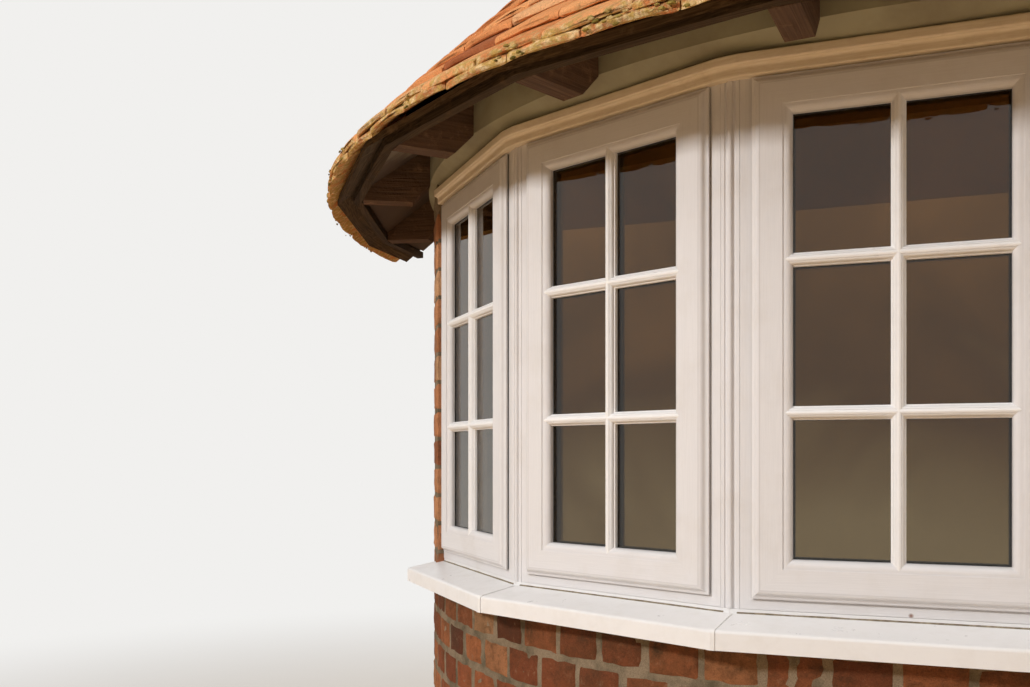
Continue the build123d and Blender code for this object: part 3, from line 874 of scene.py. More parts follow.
@dataclass(frozen=True)
class Lights:
    """The five casement lights: foil on the CAD frames and sashes, glazing bars, panes and seals."""

    glass_line: float = 0.094
    glass_seat: float = 0.0843
    bar_half: float = 0.0125
    rows: int = 3
    pane_front: float = -0.0023
    pane_thickness: float = 0.004
    pane_chamfer: float = 0.0004
    unit_back: float = -0.0257
    inside_gap: float = 0.0002
    inside_share: float = 0.75
    rust_spot: Place = (0.02, -0.47, 1.012)
    spacer: Pair = (0.0850, 0.0965)
    sash_seal: tuple[Pair, ...] = (
        (0.0225, 0.0003), (0.0262, 0.0003), (0.0262, 0.0033), (0.0235, 0.0033), (0.0225, 0.0026))
    glass_seal: tuple[Pair, ...] = ((0.0925, -0.0021), (0.0950, -0.0021), (0.0950, -0.0014), (0.0925, 0.0008))
    profile: tuple[Pair, ...] = (
        (0.0, -0.0022), (0.0, 0.0034), (0.0006, 0.0050), (0.0026, 0.0058), (0.0030, 0.0080),
        (0.0044, 0.0110), (0.0062, 0.0134), (0.0076, 0.0142), (0.0079, 0.0133), (0.0086, 0.0133),
        (0.0089, 0.0151), (0.0104, 0.0161), (0.0125, 0.0166))

    def panes(self, place: LightPlace) -> list[tuple[float, float, float, float]]:
        """Works out the six openings that the bars leave in a light.

        Args:
            place: Where the light stands.

        Returns:
            Left, right, bottom and top of each opening, row by row from the bottom left.
        """
        side = place.width / 2 - self.glass_line
        low = PLAN.frame_bottom + self.glass_line
        high = PLAN.frame_bottom + PLAN.frame_height - self.glass_line
        bar = 2 * self.bar_half
        tall = (high - low - (self.rows - 1) * bar) / self.rows
        bottoms = [low + row * (tall + bar) for row in range(self.rows)]
        columns = [(-side, -self.bar_half), (self.bar_half, side)]
        return [(left, right, bottom, bottom + tall) for bottom in bottoms for left, right in columns]

    def half_bar(self, mesher: Mesher, place: LightPlace, ends: tuple[Pair, Pair], away: Pair, base: float,
                 facing: float) -> None:
        """Adds the half of a bar that borders one edge of an opening, with a mitred peak at each end.

        Args:
            mesher: Where the faces go.
            place: Where the light stands.
            ends: Ends of the opening's edge, as (along, height).
            away: Direction from the opening into the bar.
            base: Distance in front of the light's face that the profile's heights are from.
            facing: 1 for a bar outside and a negative share of its height for one inside.
        """
        start, end = Vector(ends[0]), Vector(ends[1])
        unit = (end - start).normalized()
        loops = []
        for corner, sign in ((start, -1), (end, 1)):
            loop = []
            for inset, height in (*self.profile, (self.bar_half, self.profile[0][1])):
                spot = corner + sign * inset * unit + inset * Vector(away)
                loop.append(place.at(spot.x, base + facing * height, spot.y))
            loops.append(loop)
        mesher.loft(loops)

    def bars(self, mesher: Mesher, place: LightPlace, base: float, facing: float) -> None:
        """Adds one upright and two level bars, drawn as the borders of the six openings.

        Args:
            mesher: Where the faces go.
            place: Where the light stands.
            base: Distance in front of the light's face that the profile's heights are from.
            facing: 1 for bars outside and a negative share of their height for bars inside.
        """
        for number, (left, right, bottom, top) in enumerate(self.panes(place)):
            row, column = divmod(number, 2)
            inner, away = (right, 1.0) if column == 0 else (left, -1.0)
            self.half_bar(mesher, place, ((inner, bottom), (inner, top)), (away, 0.0), base, facing)
            if row > 0:
                self.half_bar(mesher, place, ((left, bottom), (right, bottom)), (0.0, -1.0), base, facing)
            if row < self.rows - 1:
                self.half_bar(mesher, place, ((left, top), (right, top)), (0.0, 1.0), base, facing)

    def slab(self, mesher: Mesher, place: LightPlace, back: float, front: float) -> None:
        """Adds a sheet of glass that fills a sash, with chamfered edges.

        Args:
            mesher: Where the faces go.
            place: Where the light stands.
            back: Distance in front of the light's face of its back.
            front: The same of its front.
        """
        seat, cut = self.glass_seat, self.pane_chamfer
        section = ((seat + cut, back), (seat, back + cut), (seat, front - cut), (seat + cut, front))
        mesher.loft([place.around(inset, out) for inset, out in section])

    def build(self) -> None:
        """Builds the bars, panes, spacers and seals of all the lights and dresses the frames."""
        smooth = SmoothPvc("uPVC glazing bar, extruded", colour="efedec", amount=0.2).material()
        rubber = Rubber("EPDM seal, extruded").material()
        metal = Rubber("Anodised spacer bar, dusty", colour="6f695c", bloom="8f8878").material()
        glass = RoomShadedGlass("Float glass, rolled and toned").material()
        outside, inside, seals, spacers, panes = (Mesher() for _ in range(5))
        back, front = self.unit_back + self.pane_thickness, self.pane_front - self.pane_thickness
        near, far = self.spacer
        for index, name in enumerate(LIGHT_NAMES):
            place = PLAN.light(index)
            foil = FoiledPvc(f"uPVC {name}, foiled", self.rust_spot, place).material()
            coat(foil, f"frame_{name}", f"sash_{name}")
            self.bars(outside, place, 0.0, 1.0)
            self.bars(inside, place, self.unit_back - self.inside_gap, -self.inside_share)
            for mesher, section in ((seals, self.sash_seal), (seals, self.glass_seal), (
                    spacers, ((near, back), (far, back), (far, front), (near, front)))):
                mesher.loft(list(zip(*[place.around(inset, out) for inset, out in section])), closed=True)
            self.slab(panes, place, front, self.pane_front)
            self.slab(panes, place, self.unit_back, back)
        outside.piece("glazing_bars_outside", smooth, "window_plastic")
        inside.piece("glazing_bars_inside", smooth, "window_plastic")
        seals.piece("sash_seals", rubber, "window_plastic")
        spacers.piece("glass_spacers", metal, "glass")
        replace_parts(panes.piece("glass_panes", glass, "glass"), "glass_units")


@dataclass(frozen=True)
class PostsAndCill:
    """The posts between the lights and the cill under them, with the seal along the frames."""

    seal_radius: float = 0.0026
    seal_swell: float = 0.25
    seal_wave: float = 0.05
    seal_overrun: float = 0.01
    seal_steps: int = 40
    seal_facets: int = 4
    upstand_out: float = -0.001
    slope_top: float = 0.9997
    rust_spot: Place = (-0.7935, -0.203, 1.168)

    def seals(self) -> Mesher:
        """Makes the line of sealant in the corner between the frames and the cill."""
        mesher = Mesher()
        for index in range(len(LIGHT_NAMES)):
            place = PLAN.light(index)
            loops = []
            for along in spread((place.width + self.seal_overrun) / 2, self.seal_steps):
                size = self.seal_radius * (1 + self.seal_swell * ripple(along, index, 0.0, self.seal_wave))
                loop = []
                for part in range(self.seal_facets + 1):
                    turned = math.pi / 2 * part / self.seal_facets
                    out, rise = size * math.sin(turned), size * math.cos(turned)
                    loop.append(place.at(along, self.upstand_out + out, self.slope_top + rise))
                loops.append(loop + [place.at(along, self.upstand_out, self.slope_top)])
            mesher.loft(loops)
        return mesher

    def build(self) -> None:
        """Dresses the posts and the cill and adds the seal."""
        coat(FoiledPvc("uPVC post, foiled", self.rust_spot).material(), "couplers")
        coat(SmoothPvc("uPVC cill, extruded").material(), "cill", "cill_joint_covers")
        silicone = Rubber("Silicone seal, tooled", colour="6e614e", bloom="a39680").material()
        self.seals().piece("cill_sealant", silicone, "window_plastic")


@dataclass(frozen=True)
class Brickwork:
    """The half-round base and the two piers: headers in lime mortar, four joints to the foot."""

    header: float = 0.1030
    joint: float = 0.0105
    joint_shares: Pair = (0.7, 1.3)
    brick_depth: float = 0.045
    bed_shift: float = 0.001
    least_angle: float = 0.6
    tone: Pair = (0.46, 0.23)
    set_back: float = 0.0016
    arris: Pair = (0.0030, 0.0052)
    arris_cuts: Pair = (0.35, 1.6)
    arris_depth: float = 0.8
    face_relief: float = 0.0018
    face_waves: Pair = (0.022, 0.008)
    waver: float = 0.0008
    waver_wave: float = 0.007
    along_shares: tuple[float, ...] = (0.3, 0.5, 0.7)
    level_shares: tuple[float, ...] = (0.35, 0.65)
    joint_recess: float = 0.0035
    joint_waver: float = 0.0008
    core_steps: int = 120
    pier_steps: int = 60
    pier_seed: int = 20
    base_seed: int = 7
    fillet_steps: int = 10
    fillet_bulge: float = 0.003
    fillet_dent: float = 0.012
    fillet_waves: Pair = (0.03, 0.011)
    base_courses: int = 12
    pier_courses: int = 13
    base_top: float = 0.9477
    step_top: float = 0.9854
    pier_top: float = 1.950
    pier_end: float = 59.05
    pier_gap: float = 0.0003
    mortar_top: float = 2.0095
    mortar_face_top: float = 2.0265
    splay_radius: float = 1.310
    reveal_turn: float = 48.0
    mortar_end: float = 89.98

    def cuts(self, length: float, arris: float, middles: Sequence[float]) -> list[float]:
        """Places along one side of a brick: some close together at each arris, and a few between."""
        near = [0.0] + [arris * share for share in self.arris_cuts]
        return near + [length * share for share in middles] + [length - place for place in near[::-1]]

    def rounding(self, edge: float, arris: float) -> float:
        """How deep the rubbed arris lies at a distance from the edge."""
        reach = self.arris_cuts[1]
        return arris * self.arris_depth * fade(edge, arris * reach) ** reach

    def header_brick(self, mesher: Mesher, angles: Pair, heights: Pair, rng: random.Random,
                     reveal: int = 0) -> None:
        """Adds one brick end with a snapped, uneven face and rubbed arrises.

        Args:
            mesher: Where the faces go.
            angles: Angles of its two ends round the bay, in degrees.
            heights: Its bottom and top.
            rng: Source of its unevenness.
            reveal: -1 or 1 for the brick at a pier's left or right reveal, whose end follows the frame.
        """
        (start, end), (low, high) = angles, heights
        if end - start < self.least_angle:
            return
        set_back = rng.uniform(0.0, self.set_back)
        tone = shared(rng.gauss(*self.tone))
        shift = rng.uniform(0.0, 50.0)
        arris = rng.uniform(*self.arris)
        width = math.radians(end - start) * PLAN.brick_radius
        coarse, fine = self.face_waves
        loops = []
        for along in self.cuts(width, arris, self.along_shares):
            round_side = self.rounding(min(along, width - along), arris)
            angle = start + (end - start) * along / width
            sways = not reveal and (0.0 < along < width or abs(angle) < PLAN.quarter - 1)
            loop = []
            for height in [low + rise for rise in self.cuts(high - low, arris, self.level_shares)]:
                round_level = self.rounding(min(height - low, high - height), arris)
                rough = ripple(along, height, shift, coarse) + 1.1 * ripple(along, height, shift, fine)
                rough = max(0.0, self.face_relief * rough + 0.0014)
                radius = PLAN.brick_radius - set_back - max(round_side, round_level) - rough
                slip = 0.0 if reveal else self.waver * ripple(along, height, shift + 9.0, self.waver_wave)
                sway = self.waver * ripple(along, height, shift + 4.0, self.waver_wave) if sways else 0.0
                loop.append(PLAN.polar(radius, angle + math.degrees(sway / PLAN.brick_radius), height + slip))
            for height in (high, low):
                back = PLAN.polar(PLAN.brick_radius - self.brick_depth, angle, height)
                if reveal and along == (0.0 if reveal > 0 else width):
                    front = PLAN.polar(PLAN.brick_radius - arris, angle, height)
                    back = front - self.brick_depth * heading(reveal * self.reveal_turn)[1]
                loop.append(back)
            loops.append(loop)
        mesher.loft(loops, tone)

    def courses(self, mesher: Mesher, span: Pair, heights: Pair, count: int, seed: int,
                reveal: int = 0) -> None:
        """Adds courses of headers, each course half a brick on from the last.

        Args:
            mesher: Where the faces go.
            span: Angles of the two ends, in degrees.
            heights: Bottom and top of all the courses.
            count: Number of courses.
            seed: Seed of the bricks' unevenness.
            reveal: -1 or 1 where one end of the courses is a pier's reveal.
        """
        rng = random.Random(seed)
        course = (heights[1] - heights[0]) / count
        joint = math.degrees(self.joint / PLAN.brick_radius)
        around = math.degrees((self.header + self.joint) / PLAN.brick_radius)
        number = max(1, round((span[1] - span[0]) / around))
        around = (span[1] - span[0]) / number
        for level in range(count):
            low = heights[0] + course * level + self.joint / 2
            cuts = [span[0] + around * (place + 0.5 * (level % 2)) for place in range(number + 1)]
            least, most = span[0] + self.least_angle, span[1] - self.least_angle
            cuts = [span[0]] + [cut for cut in cuts if least < cut < most] + [span[1]]
            for place, (start, end) in enumerate(zip(cuts, cuts[1:])):
                first, final = place == 0, place == len(cuts) - 2
                left = start + (0.0 if first else joint / 2 * rng.uniform(*self.joint_shares))
                right = end - (0.0 if final else joint / 2 * rng.uniform(*self.joint_shares))
                at_reveal = reveal if (reveal > 0 and first) or (reveal < 0 and final) else 0
                bottom = low + rng.uniform(-self.bed_shift, self.bed_shift)
                self.header_brick(mesher, (left, right), (bottom, low + course - self.joint), rng, at_reveal)

    def build(self) -> None:
        """Builds the half-round base, which stands for its five CAD nodes, and the piers."""
        core, bricks = Mesher(), Mesher()
        face = PLAN.brick_radius - self.joint_recess
        loops = []
        for step, angle in enumerate(spread(PLAN.quarter, self.core_steps)):
            angle = max(-self.mortar_end, min(self.mortar_end, angle))
            front = face + self.joint_waver * ripple(step * 0.03, 0.0, 0.0, 0.1)
            loops.append([PLAN.polar(radius, angle, height) for radius, height in (
                (PLAN.wall_inner, 0.0), (front, 0.0), (front, self.base_top),
                (PLAN.board_step, self.base_top), (PLAN.board_step, self.step_top),
                (PLAN.wall_inner, self.step_top))])
        core.loft(loops)
        ends = (-PLAN.quarter, PLAN.quarter)
        self.courses(bricks, ends, (0.0, self.base_top), self.base_courses, self.base_seed)
        mortar = LimeMortar("Lime mortar, struck").material()
        brick = Brick("Red facing brick, sand-moulded").material()
        piece = core.piece("base_mortar", mortar, "brick")
        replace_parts(piece, *[f"base_wall_{name}" for name in LIGHT_NAMES])
        bricks.piece("base_bricks", brick, "brick")
        # The piers' bricks are a lighter copy of the base's, as painted sunlight, and leave out the painted
        # shade under the cill.
        clean = Brick("Red facing brick, painted_lighter", ("9c6244", "c4865e", "daa074", "d2ae88"), 0.0)
        self.piers(clean.material(), mortar)

    def pier_section(self) -> list[Pair]:
        """Draws a pier's mortar from its inner step, out over the face and the fillet, and back in."""
        face, inner = PLAN.brick_radius - self.joint_recess, PLAN.board_step + self.pier_gap
        section = [(inner, PLAN.cill_bed), (face, PLAN.cill_bed), (face, self.pier_top - 0.004)]
        for part in range(self.fillet_steps):
            share = part / (self.fillet_steps - 1)
            section.append((face + self.fillet_bulge * math.sin(math.pi * share),
                            self.pier_top + (self.mortar_face_top - self.pier_top) * share))
        foot = self.step_top + self.pier_gap
        return section + [(self.splay_radius, self.mortar_top), (PLAN.wall_inner, self.mortar_top),
                          (PLAN.wall_inner, foot), (inner, foot)]

    def pier_core(self, side: int) -> Mesher:
        """Makes a pier's mortar: a core behind the bricks and a broken fillet up to the frieze.

        Args:
            side: -1 for the left pier and 1 for the right one.

        Returns:
            The gathered mesh.
        """
        place = PLAN.light(len(LIGHT_NAMES) - 1 if side > 0 else 0)
        front = heading(place.turn)[1]
        base = place.at(side * (place.width / 2 + self.pier_gap), 0.0, 0.0) - Vector((0.0, PLAN.axis_y, 0.0))
        coarse, fine = self.fillet_waves

        def end_angle(radius: float) -> float:
            """Angle at which a circle round the axis meets the pier's reveal."""
            half_b = base.dot(front)
            root = math.sqrt(half_b * half_b - base.length_squared + radius * radius)
            point = base + (root - half_b) * front
            return math.degrees(math.atan2(point.x, -point.y))

        loops = []
        for step in range(self.pier_steps + 1):
            loop = []
            for number, (radius, height) in enumerate(self.pier_section()):
                first = end_angle(radius)
                angle = first + (side * self.mortar_end - first) * step / self.pier_steps
                if 2 <= number < self.fillet_steps + 2:
                    along = math.radians(angle) * PLAN.brick_radius
                    dent = 0.3 + ripple(along, height, 3.0, coarse) + 0.5 * ripple(along, height, 9.0, fine)
                    radius -= self.fillet_dent * max(0.0, dent)
                loop.append(PLAN.polar(radius, angle, height))
            loops.append(loop)
        mesher = Mesher()
        mesher.loft(loops)
        return mesher

    def piers(self, brick: Material, mortar: Material) -> None:
        """Builds both piers, which stand for their CAD nodes.

        Args:
            brick: Material of the bricks.
            mortar: Material of the joints.
        """
        heights = (PLAN.cill_bed + self.bed_shift, self.pier_top)
        for side, name in ((-1, "left"), (1, "right")):
            bricks = Mesher()
            span = tuple(sorted((side * PLAN.quarter, side * self.pier_end)))
            self.courses(bricks, span, heights, self.pier_courses, self.pier_seed + side, reveal=side)
            bricks.piece(f"pier_bricks_{name}", brick, "brick")
            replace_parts(self.pier_core(side).piece(f"pier_mortar_{name}", mortar, "brick"), f"pier_{name}")


@dataclass(frozen=True)
class TiledRoof:
    """The half cone of handmade clay tiles, with a doubled and mossy course at the eaves."""

    eave_radius: float = 1.640
    eave_top: float = 2.004
    apex_top: float = 3.5985
    break_radius: float = 1.345
    break_underside: float = 2.1805
    eave_underside: float = 1.972
    apex_underside: float = 3.549
    top_radius: float = 0.050
    apex_radius: float = 0.004
    gauge: float = 0.0905
    tile_width: float = 0.165
    tile_length: float = 0.128
    tile_gap: float = 0.0022
    tile_tone: Pair = (0.50, 0.18)
    thickness: float = 0.0168
    thick_shares: Pair = (0.88, 1.16)
    camber: Pair = (0.0005, 0.0042)
    twist: float = 0.0035
    slide: float = 0.007
    lift: float = 0.0028
    tail_rounding: float = 0.0048
    side_rounding: float = 0.0030
    corner_cut: float = 0.010
    tail_wave: float = 0.0045
    sag: float = 0.0035
    along: tuple[float, ...] = (0.0, 0.012, 0.035, 0.08, 0.35, 0.7, 1.0)
    across: tuple[float, ...] = (-0.5, -0.475, -0.40, -0.2, 0.0, 0.2, 0.40, 0.475, 0.5)
    bedding_depth: float = 0.034
    bedding_inset: float = 0.045
    bedding_lift: float = 0.0003
    bedding_end: float = 89.9
    bedding_steps: int = 100
    lead_width: float = 0.120
    lead_thickness: float = 0.0028
    lead_inset: float = 0.002
    lead_lap: float = 0.6
    lead_steps: int = 160
    lead_parts: int = 8
    moss_count: int = 900
    moss_end: float = 89.0
    moss_rings: int = 7
    moss_facets: int = 9
    seed: int = 11

    def slope_point(self, distance: float) -> Pair:
        """Finds a point on the roof's outer face.

        Args:
            distance: Distance up the slope from the eaves.

        Returns:
            Its radius and its height.
        """
        pitch = math.atan2(self.apex_top - self.eave_top, self.eave_radius)
        radius = max(self.apex_radius, self.eave_radius - distance * math.cos(pitch))
        return radius, min(self.apex_top, self.eave_top + distance * math.sin(pitch))

    def outer_height(self, radius: float) -> float:
        """Height of the roof's outer face at a distance from the bay's axis."""
        return self.apex_top - (self.apex_top - self.eave_top) * radius / self.eave_radius

    def tile(self, mesher: Mesher, distance: float, angles: Pair, drop: float, rng: random.Random) -> None:
        """Adds one tile with a camber, uneven rounded edges and its tail on the roof's outer face.

        Args:
            mesher: Where the faces go.
            distance: Distance of its tail up the slope.
            angles: Angles of its two edges round the bay, in degrees.
            drop: How far its tail lies under the roof's outer face.
            rng: Source of its unevenness.
        """
        tone = shared(rng.gauss(*self.tile_tone))
        shift = rng.uniform(0.0, 90.0)
        camber = rng.uniform(*self.camber)
        twist = rng.uniform(-self.twist, self.twist)
        slide = rng.uniform(0.0, self.slide)
        thick = self.thickness * rng.uniform(*self.thick_shares)
        lift = rng.uniform(0.0, self.lift)
        loops = []
        for share in self.along:
            tail_round = self.tail_rounding * fade(share, 0.08) ** 1.9
            top: Loop = []
            low: Loop = []
            for part in self.across:
                angle = (angles[0] + angles[1]) / 2 + part * (angles[1] - angles[0])
                place, side = angle * 0.03, abs(part) * 2
                edge = max(tail_round, self.side_rounding * max(0.0, (side - 0.94) / 0.06) ** 1.4)
                corner = self.corner_cut * max(0.0, side - 0.7) / 0.3 * fade(share, 0.1)
                wave = self.tail_wave * ripple(place, shift, 0.0, 0.045) * fade(share, 0.35)
                spot = distance + slide + share * self.tile_length + corner * side
                spot += (wave + self.tail_wave) * (1 - share)
                radius, height = self.slope_point(spot)
                tilt = self.thickness * (spot - distance) / self.gauge
                bend = camber * (side * side) + twist * part + 0.0022
                uneven = 0.0012 * ripple(place, share, shift, 0.03)
                sag = self.sag * ripple(math.radians(angle) * radius, distance, 0.0, 0.35) - 0.003
                height -= drop + lift + tilt + sag + max(0.0, bend + uneven)
                depth = thick * (1 + 0.20 * ripple(place, share, shift + 5.0, 0.05))
                top.append(PLAN.polar(radius, angle, height - edge))
                low.append(PLAN.polar(radius, angle, height - depth + edge))
            loops.append(top + low[::-1])
        mesher.loft(loops, tone)

    def tiles(self, rng: random.Random) -> Mesher:
        """Lays the courses, with a second one under the lowest.

        Args:
            rng: Source of the tiles' unevenness.

        Returns:
            The gathered mesh.
        """
        mesher = Mesher()
        distance, course, end_turn = 0.0, 0, PLAN.quarter
        while self.slope_point(distance)[0] > self.top_radius:
            radius = self.slope_point(distance)[0]
            number = max(2, round(math.pi * radius / self.tile_width))
            step = 2 * end_turn / number
            gap = math.degrees(self.tile_gap / radius)
            cuts = [-end_turn + step * (place + 0.5 * (course % 2) + rng.uniform(-0.06, 0.06))
                    for place in range(number + 1)]
            inner = [cut for cut in cuts if abs(cut) < end_turn - step * 0.3]
            cuts = [-end_turn, *inner, end_turn]
            for start, end in zip(cuts, cuts[1:]):
                left = start + (gap / 2 if start > -end_turn else 0.0)
                self.tile(mesher, distance, (left, end - (gap / 2 if end < end_turn else 0.0)), 0.0, rng)
            if course == 0:
                middles = [cut + step / 2 for cut in inner if cut + step / 2 < end_turn - 1]
                under = [-end_turn, *middles, end_turn]
                for start, end in zip(under, under[1:]):
                    self.tile(mesher, 0.001, (start + gap / 2, end - gap / 2), self.thickness, rng)
            distance += self.gauge
            course += 1
        return mesher

    def build(self) -> None:
        """Builds all the tiles, which stand for the five CAD nodes, and dresses the lead and boarding."""
        rng = random.Random(self.seed)
        clay = ClayTile("Clay plain tile, handmade").material()
        tiles = self.tiles(rng).piece("clay_tiles", clay, "clay_tile")
        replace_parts(tiles, *[f"roof_tiles_{name}" for name in LIGHT_NAMES])
        self.bedding().piece("tile_bedding", LimeMortar("Lime mortar, bedding").material(), "clay_tile")
        self.moss(rng).piece("moss_lumps", Moss("Moss and lichen, crusted").material(), "clay_tile")
        lead = self.lead().piece("lead_sheet", MilledLead("Lead sheet, milled").material(), "lead")
        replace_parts(lead, "lead_flashing")
        coat(Wood("Softwood boarding, sawn", "64533e", "403325", "847560", depth=0.0008, roughness=0.9,
                  board_rise=0.0616).material(), "sarking")

    def bedding(self) -> Mesher:
        """Makes the layer of battens and mortar under the tiles, which shows at the house wall."""
        eave = self.eave_radius - self.bedding_inset
        section = [(radius, self.outer_height(radius) - self.bedding_depth)
                   for radius in (self.top_radius, self.break_radius, eave)]
        share = self.bedding_inset / (self.eave_radius - self.break_radius)
        slope = (self.apex_underside - self.break_underside) / self.break_radius
        section += [(eave, self.eave_underside + (self.break_underside - self.eave_underside) * share),
                    (self.break_radius, self.break_underside),
                    (self.top_radius, self.apex_underside - slope * self.top_radius)]
        mesher = Mesher()
        mesher.loft([[PLAN.polar(radius, turn, height + self.bedding_lift) for radius, height in section]
                     for turn in spread(self.bedding_end, self.bedding_steps)])
        return mesher

    def lead(self) -> Mesher:
        """Makes the sheet dressed over the tiles along the house wall, with a lap every 0.6 m."""
        reach = self.eave_radius - self.lead_inset
        loops = []
        for turn in spread(math.pi / 2, self.lead_steps):
            along = reach * math.sin(turn)
            width = min(self.lead_width, math.sqrt(max(0.0, reach * reach - along * along)))
            lap = 0.0006 * (1 + math.tanh(40 * math.sin(along / self.lead_lap * math.pi)))
            top: Loop = []
            low: Loop = []
            for part in range(self.lead_parts + 1):
                back = width * part / self.lead_parts
                dressed = 0.0007 * (1 + ripple(along, back, 0.0, 0.05))
                height = self.outer_height(math.hypot(along, back)) + 0.0002 + lap - dressed
                edge = 0.0008 if part == self.lead_parts else 0.0
                top.append(Vector((along, PLAN.axis_y - back, height + self.lead_thickness - edge)))
                low.append(Vector((along, PLAN.axis_y - back, height)))
            loops.append(top + low[::-1])
        mesher = Mesher()
        mesher.loft(loops)
        return mesher

    def lump(self, centre: Vector, size: float, shift: float) -> list[Loop]:
        """Makes one uneven lump, about twice as long round the bay as it is thick.

        Args:
            centre: Its middle.
            size: Half its thickness.
            shift: Where its unevenness is drawn from.

        Returns:
            Its rings of points.
        """
        out = Vector((centre.x, centre.y - PLAN.axis_y, 0.0)).normalized()
        side = Vector((-out.y, out.x, 0.0))
        loops = []
        for ring in range(self.moss_rings):
            lean = math.pi * (ring + 0.25) / (self.moss_rings - 0.5)
            loop = []
            for part in range(self.moss_facets):
                turned = 2 * math.pi * part / self.moss_facets
                sine, cosine = math.sin(turned), math.cos(turned)
                reach = size * (1 + 0.6 * ripple(cosine, sine, lean + shift, 0.8))
                thick, long = 0.8 * reach * math.sin(lean), 1.7 * reach * math.cos(lean)
                loop.append(centre + thick * cosine * out + long * side + thick * sine * UP)
            loops.append(loop)
        return loops

    def moss(self, rng: random.Random) -> Mesher:
        """Makes lumps of moss and lichen, 5 to 18 mm wide, in clusters on the tails of the lowest tiles.

        Args:
            rng: Source of their places and sizes.

        Returns:
            The gathered mesh.
        """
        mesher = Mesher()
        for angle in spread(self.moss_end, self.moss_count - 1):
            angle += rng.uniform(-0.1, 0.1)
            cluster = ripple(math.radians(angle) * self.eave_radius, 0.0, 5.0, 0.10)
            course = 1 if rng.random() < 0.25 else 0
            size = rng.uniform(0.0016, 0.0034) + 0.0035 * max(0.0, cluster - 0.1)
            shift = rng.uniform(0.0, 40.0)
            if cluster < 0.08 + 0.2 * course:
                continue
            radius, height = self.slope_point(course * self.gauge + rng.uniform(0.001, 0.008) + size)
            drop = rng.uniform(0.004, 0.034 if course == 0 else 0.015)
            mesher.loft(self.lump(PLAN.polar(radius, angle, height - drop), size, shift), rng.random())
        return mesher


@dataclass(frozen=True)
class Eaves:
    """Frieze, soffit, rafters, fascia and head moulding: CAD shapes with their own finishes."""

    def build(self) -> None:
        """Dresses each node."""
        coat(Plaster("Lime render, floated").material(), *[f"frieze_{name}" for name in LIGHT_NAMES])
        # The soffit's render is coloured lighter than the frieze's, as painted light against the shade under
        # the eaves; it also darkens towards the house wall.
        coat(Plaster("Lime render, thin coat", "b8ae9a", "988b79", darkening=0.9).material(), "soffit_panels")
        hewn = Wood("Softwood, hewn and stained", "6e5645", "574438", "94745c", 0.005, 0.8, 0.9,
                    grain=Grain.RADIAL, line_gap=0.005)
        coat(hewn.material(), "rafters_left", "rafters_right", "apex_block")
        coat(Wood("Softwood, tarred", "544433", "34291e", "7a5c42", 0.0006, 0.45, 0.85, 0.05).material(),
             "fascia_boards")
        coat(Wood("Softwood, oil-painted", "e6d8c2", "dccbb0", "bda583", 0.0002, 0.3, 0.5, 0.35).material(),
             "head_moulding")


@dataclass(frozen=True)
class Inside:
    """Window board, ceiling and plaster on the room's side."""

    def build(self) -> None:
        """Dresses each node."""
        board = Wood("Softwood board, gloss-painted", "ece7dc", "e2dccf", "cfc6b4", 0.0001, 0.2, 0.35, 0.5)
        coat(board.material(), "window_board")
        skim = Plaster("Gypsum plaster, skimmed", "e4ddd0", "d3cabb", 0.0005)
        coat(skim.material(), "ceiling", "inner_plaster")


@dataclass(frozen=True)
class Lamp:
    """A soft rectangular studio lamp, which neither the camera nor gloss shows."""

    name: str
    spot: Place
    aim: Place
    size: float
    power: float
    colour: Place = (1.0, 1.0, 1.0)

    def build(self) -> None:
        """Hangs the lamp and turns it to what it lights."""
        data = bpy.data.lights.new(self.name, "AREA")
        data.shape, data.size, data.energy, data.color = "SQUARE", self.size, self.power, self.colour
        lamp = bpy.data.objects.new(self.name, data)
        lamp.location = self.spot
        lamp.visible_camera = lamp.visible_transmission = lamp.visible_glossy = False
        lamp.rotation_euler = (Vector(self.aim) - Vector(self.spot)).to_track_quat("-Z", "Y").to_euler()
        bpy.context.scene.collection.objects.link(lamp)


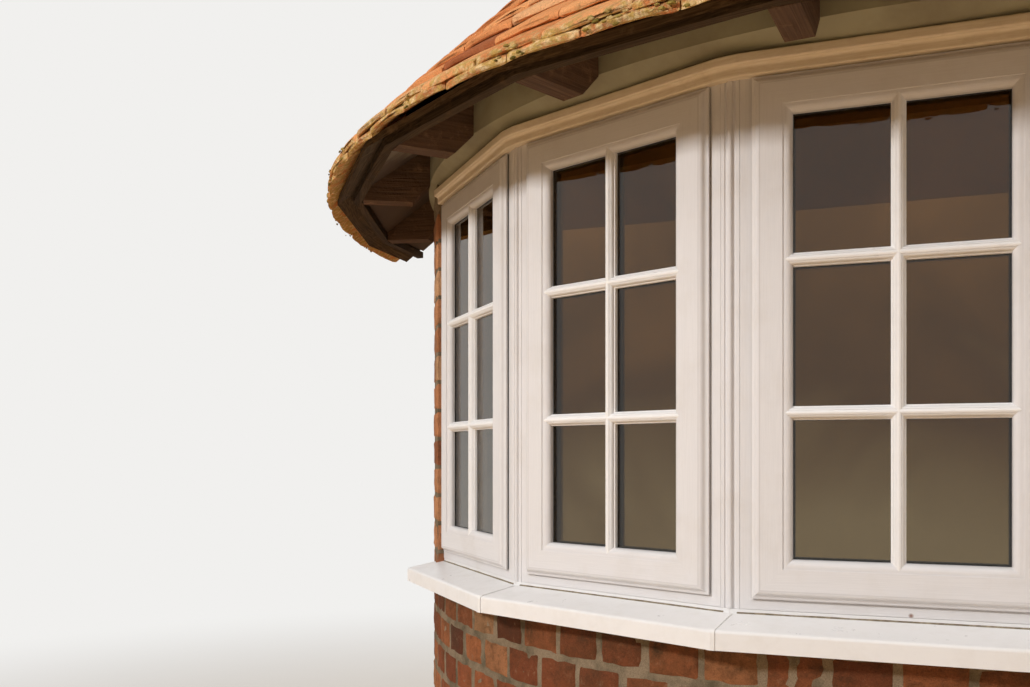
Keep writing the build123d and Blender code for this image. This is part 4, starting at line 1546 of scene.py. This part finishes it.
@dataclass(frozen=True)
class Studio:
    """Floor, world, lamps and the camera at the photograph's viewing angle."""

    backdrop: str = "f1f0ee"
    shade: str = "f6cda0"
    strengths: Pair = (0.14, 1.0)
    floor_half: float = 40.0
    floor_squares: int = 8
    eye: Place = (-0.048, -2.255, 1.287)
    yaw: float = 20.20
    lens: float = 33.62
    rise: float = 0.109
    clip: Pair = (0.05, 200.0)
    lamps: tuple[Lamp, ...] = (
        Lamp("key_lamp", (-3.90, -4.43, 3.6), (0.0, 0.2, 1.5), 0.6, 230.0, (1.0, 0.995, 0.985)),
        Lamp("sky_lamp", (-0.4, -4.7, 6.4), (0.0, 0.0, 1.2), 4.0, 165.0, (0.92, 0.96, 1.0)),
        Lamp("fill_lamp", (5.8, -0.8, 3.2), (0.0, 0.2, 1.4), 3.5, 150.0, (1.0, 0.96, 0.91)),
        Lamp("back_lamp", (0.0, 5.5, 4.0), (0.0, 0.4, 1.6), 3.5, 150.0))

    def floor(self) -> None:
        """Lays the floor just under the bay."""
        shape = bmesh.new()
        squares = self.floor_squares
        bmesh.ops.create_grid(shape, x_segments=squares, y_segments=squares, size=self.floor_half)
        mesh = bpy.data.meshes.new("studio_floor")
        shape.to_mesh(mesh)
        shape.free()
        mesh.materials.append(StudioFloor("Studio floor, matt paint").material())
        floor = bpy.data.objects.new("studio_floor", mesh)
        bpy.context.scene.collection.objects.link(floor)

    def world(self) -> None:
        """Gives a plain soft light, and a pale backdrop to the camera, glass and gloss."""
        world = bpy.data.worlds.new("studio_world")
        bpy.context.scene.world = world
        world.use_nodes = True
        nodes = Nodes(world.node_tree)
        seen = nodes.seen()
        colour = nodes.mix(seen, self.shade, self.backdrop)
        strength = nodes.span(seen, Span(0.0, 1.0, *self.strengths))
        nodes.wire(nodes.tree.nodes["Background"], {"Color": colour, "Strength": strength})

    def camera(self) -> None:
        """Stands the camera where the photograph was taken from."""
        data = bpy.data.cameras.new("camera")
        data.lens, data.shift_y = self.lens, self.rise
        data.clip_start, data.clip_end = self.clip
        camera = bpy.data.objects.new("camera", data)
        camera.location = self.eye
        camera.rotation_euler = (math.pi / 2, 0.0, math.radians(self.yaw))
        bpy.context.scene.collection.objects.link(camera)
        bpy.context.scene.camera = camera

    def build(self) -> None:
        """Sets up the whole studio."""
        self.floor()
        self.world()
        for lamp in self.lamps:
            lamp.build()
        self.camera()
        bpy.context.scene.view_settings.view_transform = "Standard"


def corners(box: tuple[Vector, Vector]) -> list[list[float]]:
    """Lowest and highest corner of a box as plain lists."""
    return [[round(value, 6) for value in corner] for corner in box]


def main() -> None:
    """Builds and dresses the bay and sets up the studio."""
    logging.basicConfig(level=logging.INFO, format="%(name)s %(message)s")
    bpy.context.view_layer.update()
    steps: dict[str, Callable[[], None]] = {
        "lights": Lights().build, "posts and cill": PostsAndCill().build, "brickwork": Brickwork().build,
        "roof": TiledRoof().build, "eaves": Eaves().build, "inside": Inside().build, "studio": Studio().build}
    for name, build in steps.items():
        build()
        LOG.info("built the %s", name)


if __name__ == "__main__":
    main()
